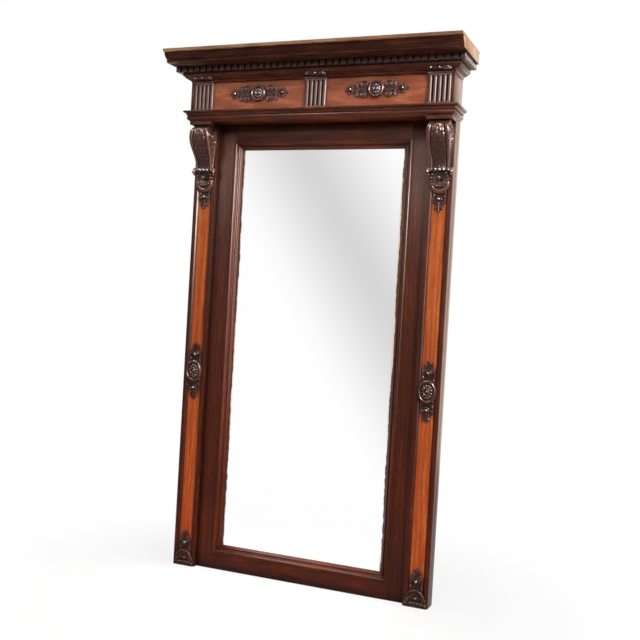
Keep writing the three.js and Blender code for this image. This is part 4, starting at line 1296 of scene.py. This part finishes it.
def add_cup(corbel, z):
    corbel.add(*dome((0, z), ON_STRIP, CUP_RADIUS, cup_height, rings=56, segments=150))
    corbel.add(*ball(0, ON_STRIP + BUTTON["out"], z, BUTTON["radius"], 28, 16))


CRESCENT_RADIUS = 40.0
CRESCENT_DROP = 51.0
CRESCENT_ROLL = (31.0, 8.6, 6.5)


def add_crescent(corbel, centre_z):
    """Rounded crescent round the lower half of the cup."""
    def outline(x, z):
        return np.maximum(circle(x, z, 0, centre_z, CRESCENT_RADIUS), z - centre_z - 6)

    def height(x, z, distance):
        return 2.5 + ring_bump(circle(x, z, 0, centre_z, 0), *CRESCENT_ROLL)

    reach = CRESCENT_RADIUS + 1
    extent = (-reach, reach, centre_z - reach, centre_z + 8)
    corbel.add(*relief(extent, outline, height, ON_STRIP, step=1.2))


def add_corbels():
    roll_z = CAP_BOTTOM - ROLL_DROP
    corbel = Carving(PILASTER_X)
    corbel.add(*corbel_shaft())
    add_volutes(corbel)
    add_roll(corbel, roll_z)
    add_cup(corbel, roll_z - CUP_DROP)
    add_crescent(corbel, roll_z - CRESCENT_DROP)
    make_pair(corbel, "carved_corbel", "corbel")


# ---------- floor, backdrop and light ----------

FLOOR_HALF = 30.0
SHADOW_REACH = 1.5
WORLD_LEVEL = 0.23


def seen_rays(graph):
    """1 for rays from the camera, straight, mirrored or through glass, and 0 for all others."""
    rays = graph.node("ShaderNodeLightPath").outputs
    seen = graph.math("MAXIMUM", rays["Is Camera Ray"], rays["Is Glossy Ray"])
    return graph.math("MAXIMUM", seen, rays["Is Transmission Ray"])


def add_floor():
    """Pale floor: white far from the mirror, and keeping the mirror's soft shadow near it."""
    bpy.ops.mesh.primitive_plane_add(size=2 * FLOOR_HALF, location=(0, 0, 0))
    floor = bpy.context.object
    floor.name = "floor"
    material, graph, shader = new_material("floor_paper")
    graph.fill(shader, {
        "Base Color": (0.83, 0.83, 0.83, 1), "Roughness": 0.9, "Specular IOR Level": 0.1,
    })
    white = graph.node("ShaderNodeEmission", {"Strength": 1.0})
    near = graph.node("ShaderNodeVectorMath", {0: graph.place()}, operation="LENGTH")
    far_share = graph.ramp(near.outputs["Value"], 0.3, SHADOW_REACH, 0.78, 1.0)
    share = graph.times(far_share, seen_rays(graph))
    feeds = {0: share, 1: shader.outputs[0], 2: white.outputs[0]}
    mix = graph.node("ShaderNodeMixShader", feeds)
    graph.fill(graph.tree.nodes["Material Output"], {"Surface": mix.outputs[0]})
    floor.data.materials.append(material)


def add_world():
    world = bpy.data.worlds.new("studio")
    scene.world = world
    world.use_nodes = True
    graph = Graph(world.node_tree)
    level = graph.ramp(seen_rays(graph), 0.0, 1.0, WORLD_LEVEL, 1.0)
    back = world.node_tree.nodes["Background"]
    graph.fill(back, {"Color": (1, 1, 1, 1), "Strength": level})


def add_light(name, place, aim, size, power, colour=(1, 1, 1)):
    data = bpy.data.lights.new(name, "AREA")
    data.shape = "RECTANGLE"
    data.size, data.size_y = size
    data.energy = power
    data.color = colour
    lamp = bpy.data.objects.new(name, data)
    scene.collection.objects.link(lamp)
    lamp.location = place
    lamp.rotation_euler = (Vector(aim) - Vector(place)).to_track_quat("-Z", "Y").to_euler()
    lamp.visible_camera = False
    return lamp


def add_lights():
    add_light("top", (0.8, -3.4, 5.2), (0, 0, 1.1), (2.4, 1.6), 56)
    add_light("key", (3.5, -2.3, 3.3), (0, 0, 1.2), (1.1, 1.1), 145)
    add_light("left", (-3.6, -1.5, 2.4), (0, 0, 1.2), (0.8, 1.6), 5)
    # Softboxes that only gloss mirrors: on ridges, studs, mouldings and the sides.
    warm = (1, 0.86, 0.81)
    for lamp in (
        add_light("gloss_front", (2.7, -2.7, 3.0), (0.2, 0, 1.6), (1.6, 1.1), 1500, warm),
        add_light("gloss_right", (3.0, -1.3, 1.6), (0.2, 0, 1.4), (0.35, 2.8), 130, warm),
        add_light("gloss_frieze", (-2.3, -4.3, 3.6), (0, 0, 1.98), (2.2, 0.4), 80, warm),
        add_light("gloss_side", (1.4, 2.6, 1.5), (0.56, 0, 1.1), (2.0, 4.0), 54, (1, 0.77, 0.61)),
        add_light("gloss_left", (-3.3, 0.5, 2.6), (-0.4, 0, 1.2), (0.9, 1.8), 42, warm),
        add_light("gloss_top", (-1.5, -1.25, 3.9), (0, 0, 0.5), (3.0, 0.7), 330, warm),
    ):
        lamp.visible_diffuse = False


scene.view_settings.view_transform = "Standard"
add_camera()
weld_tree = weld_faces()
shade_tree = shade_by_angle()
materials = add_materials()
dress_frame()
add_bosses()
add_drops()
add_feet()
add_frieze_ornaments()
add_fluted_blocks()
add_corbels()
add_floor()
add_world()
add_lights()
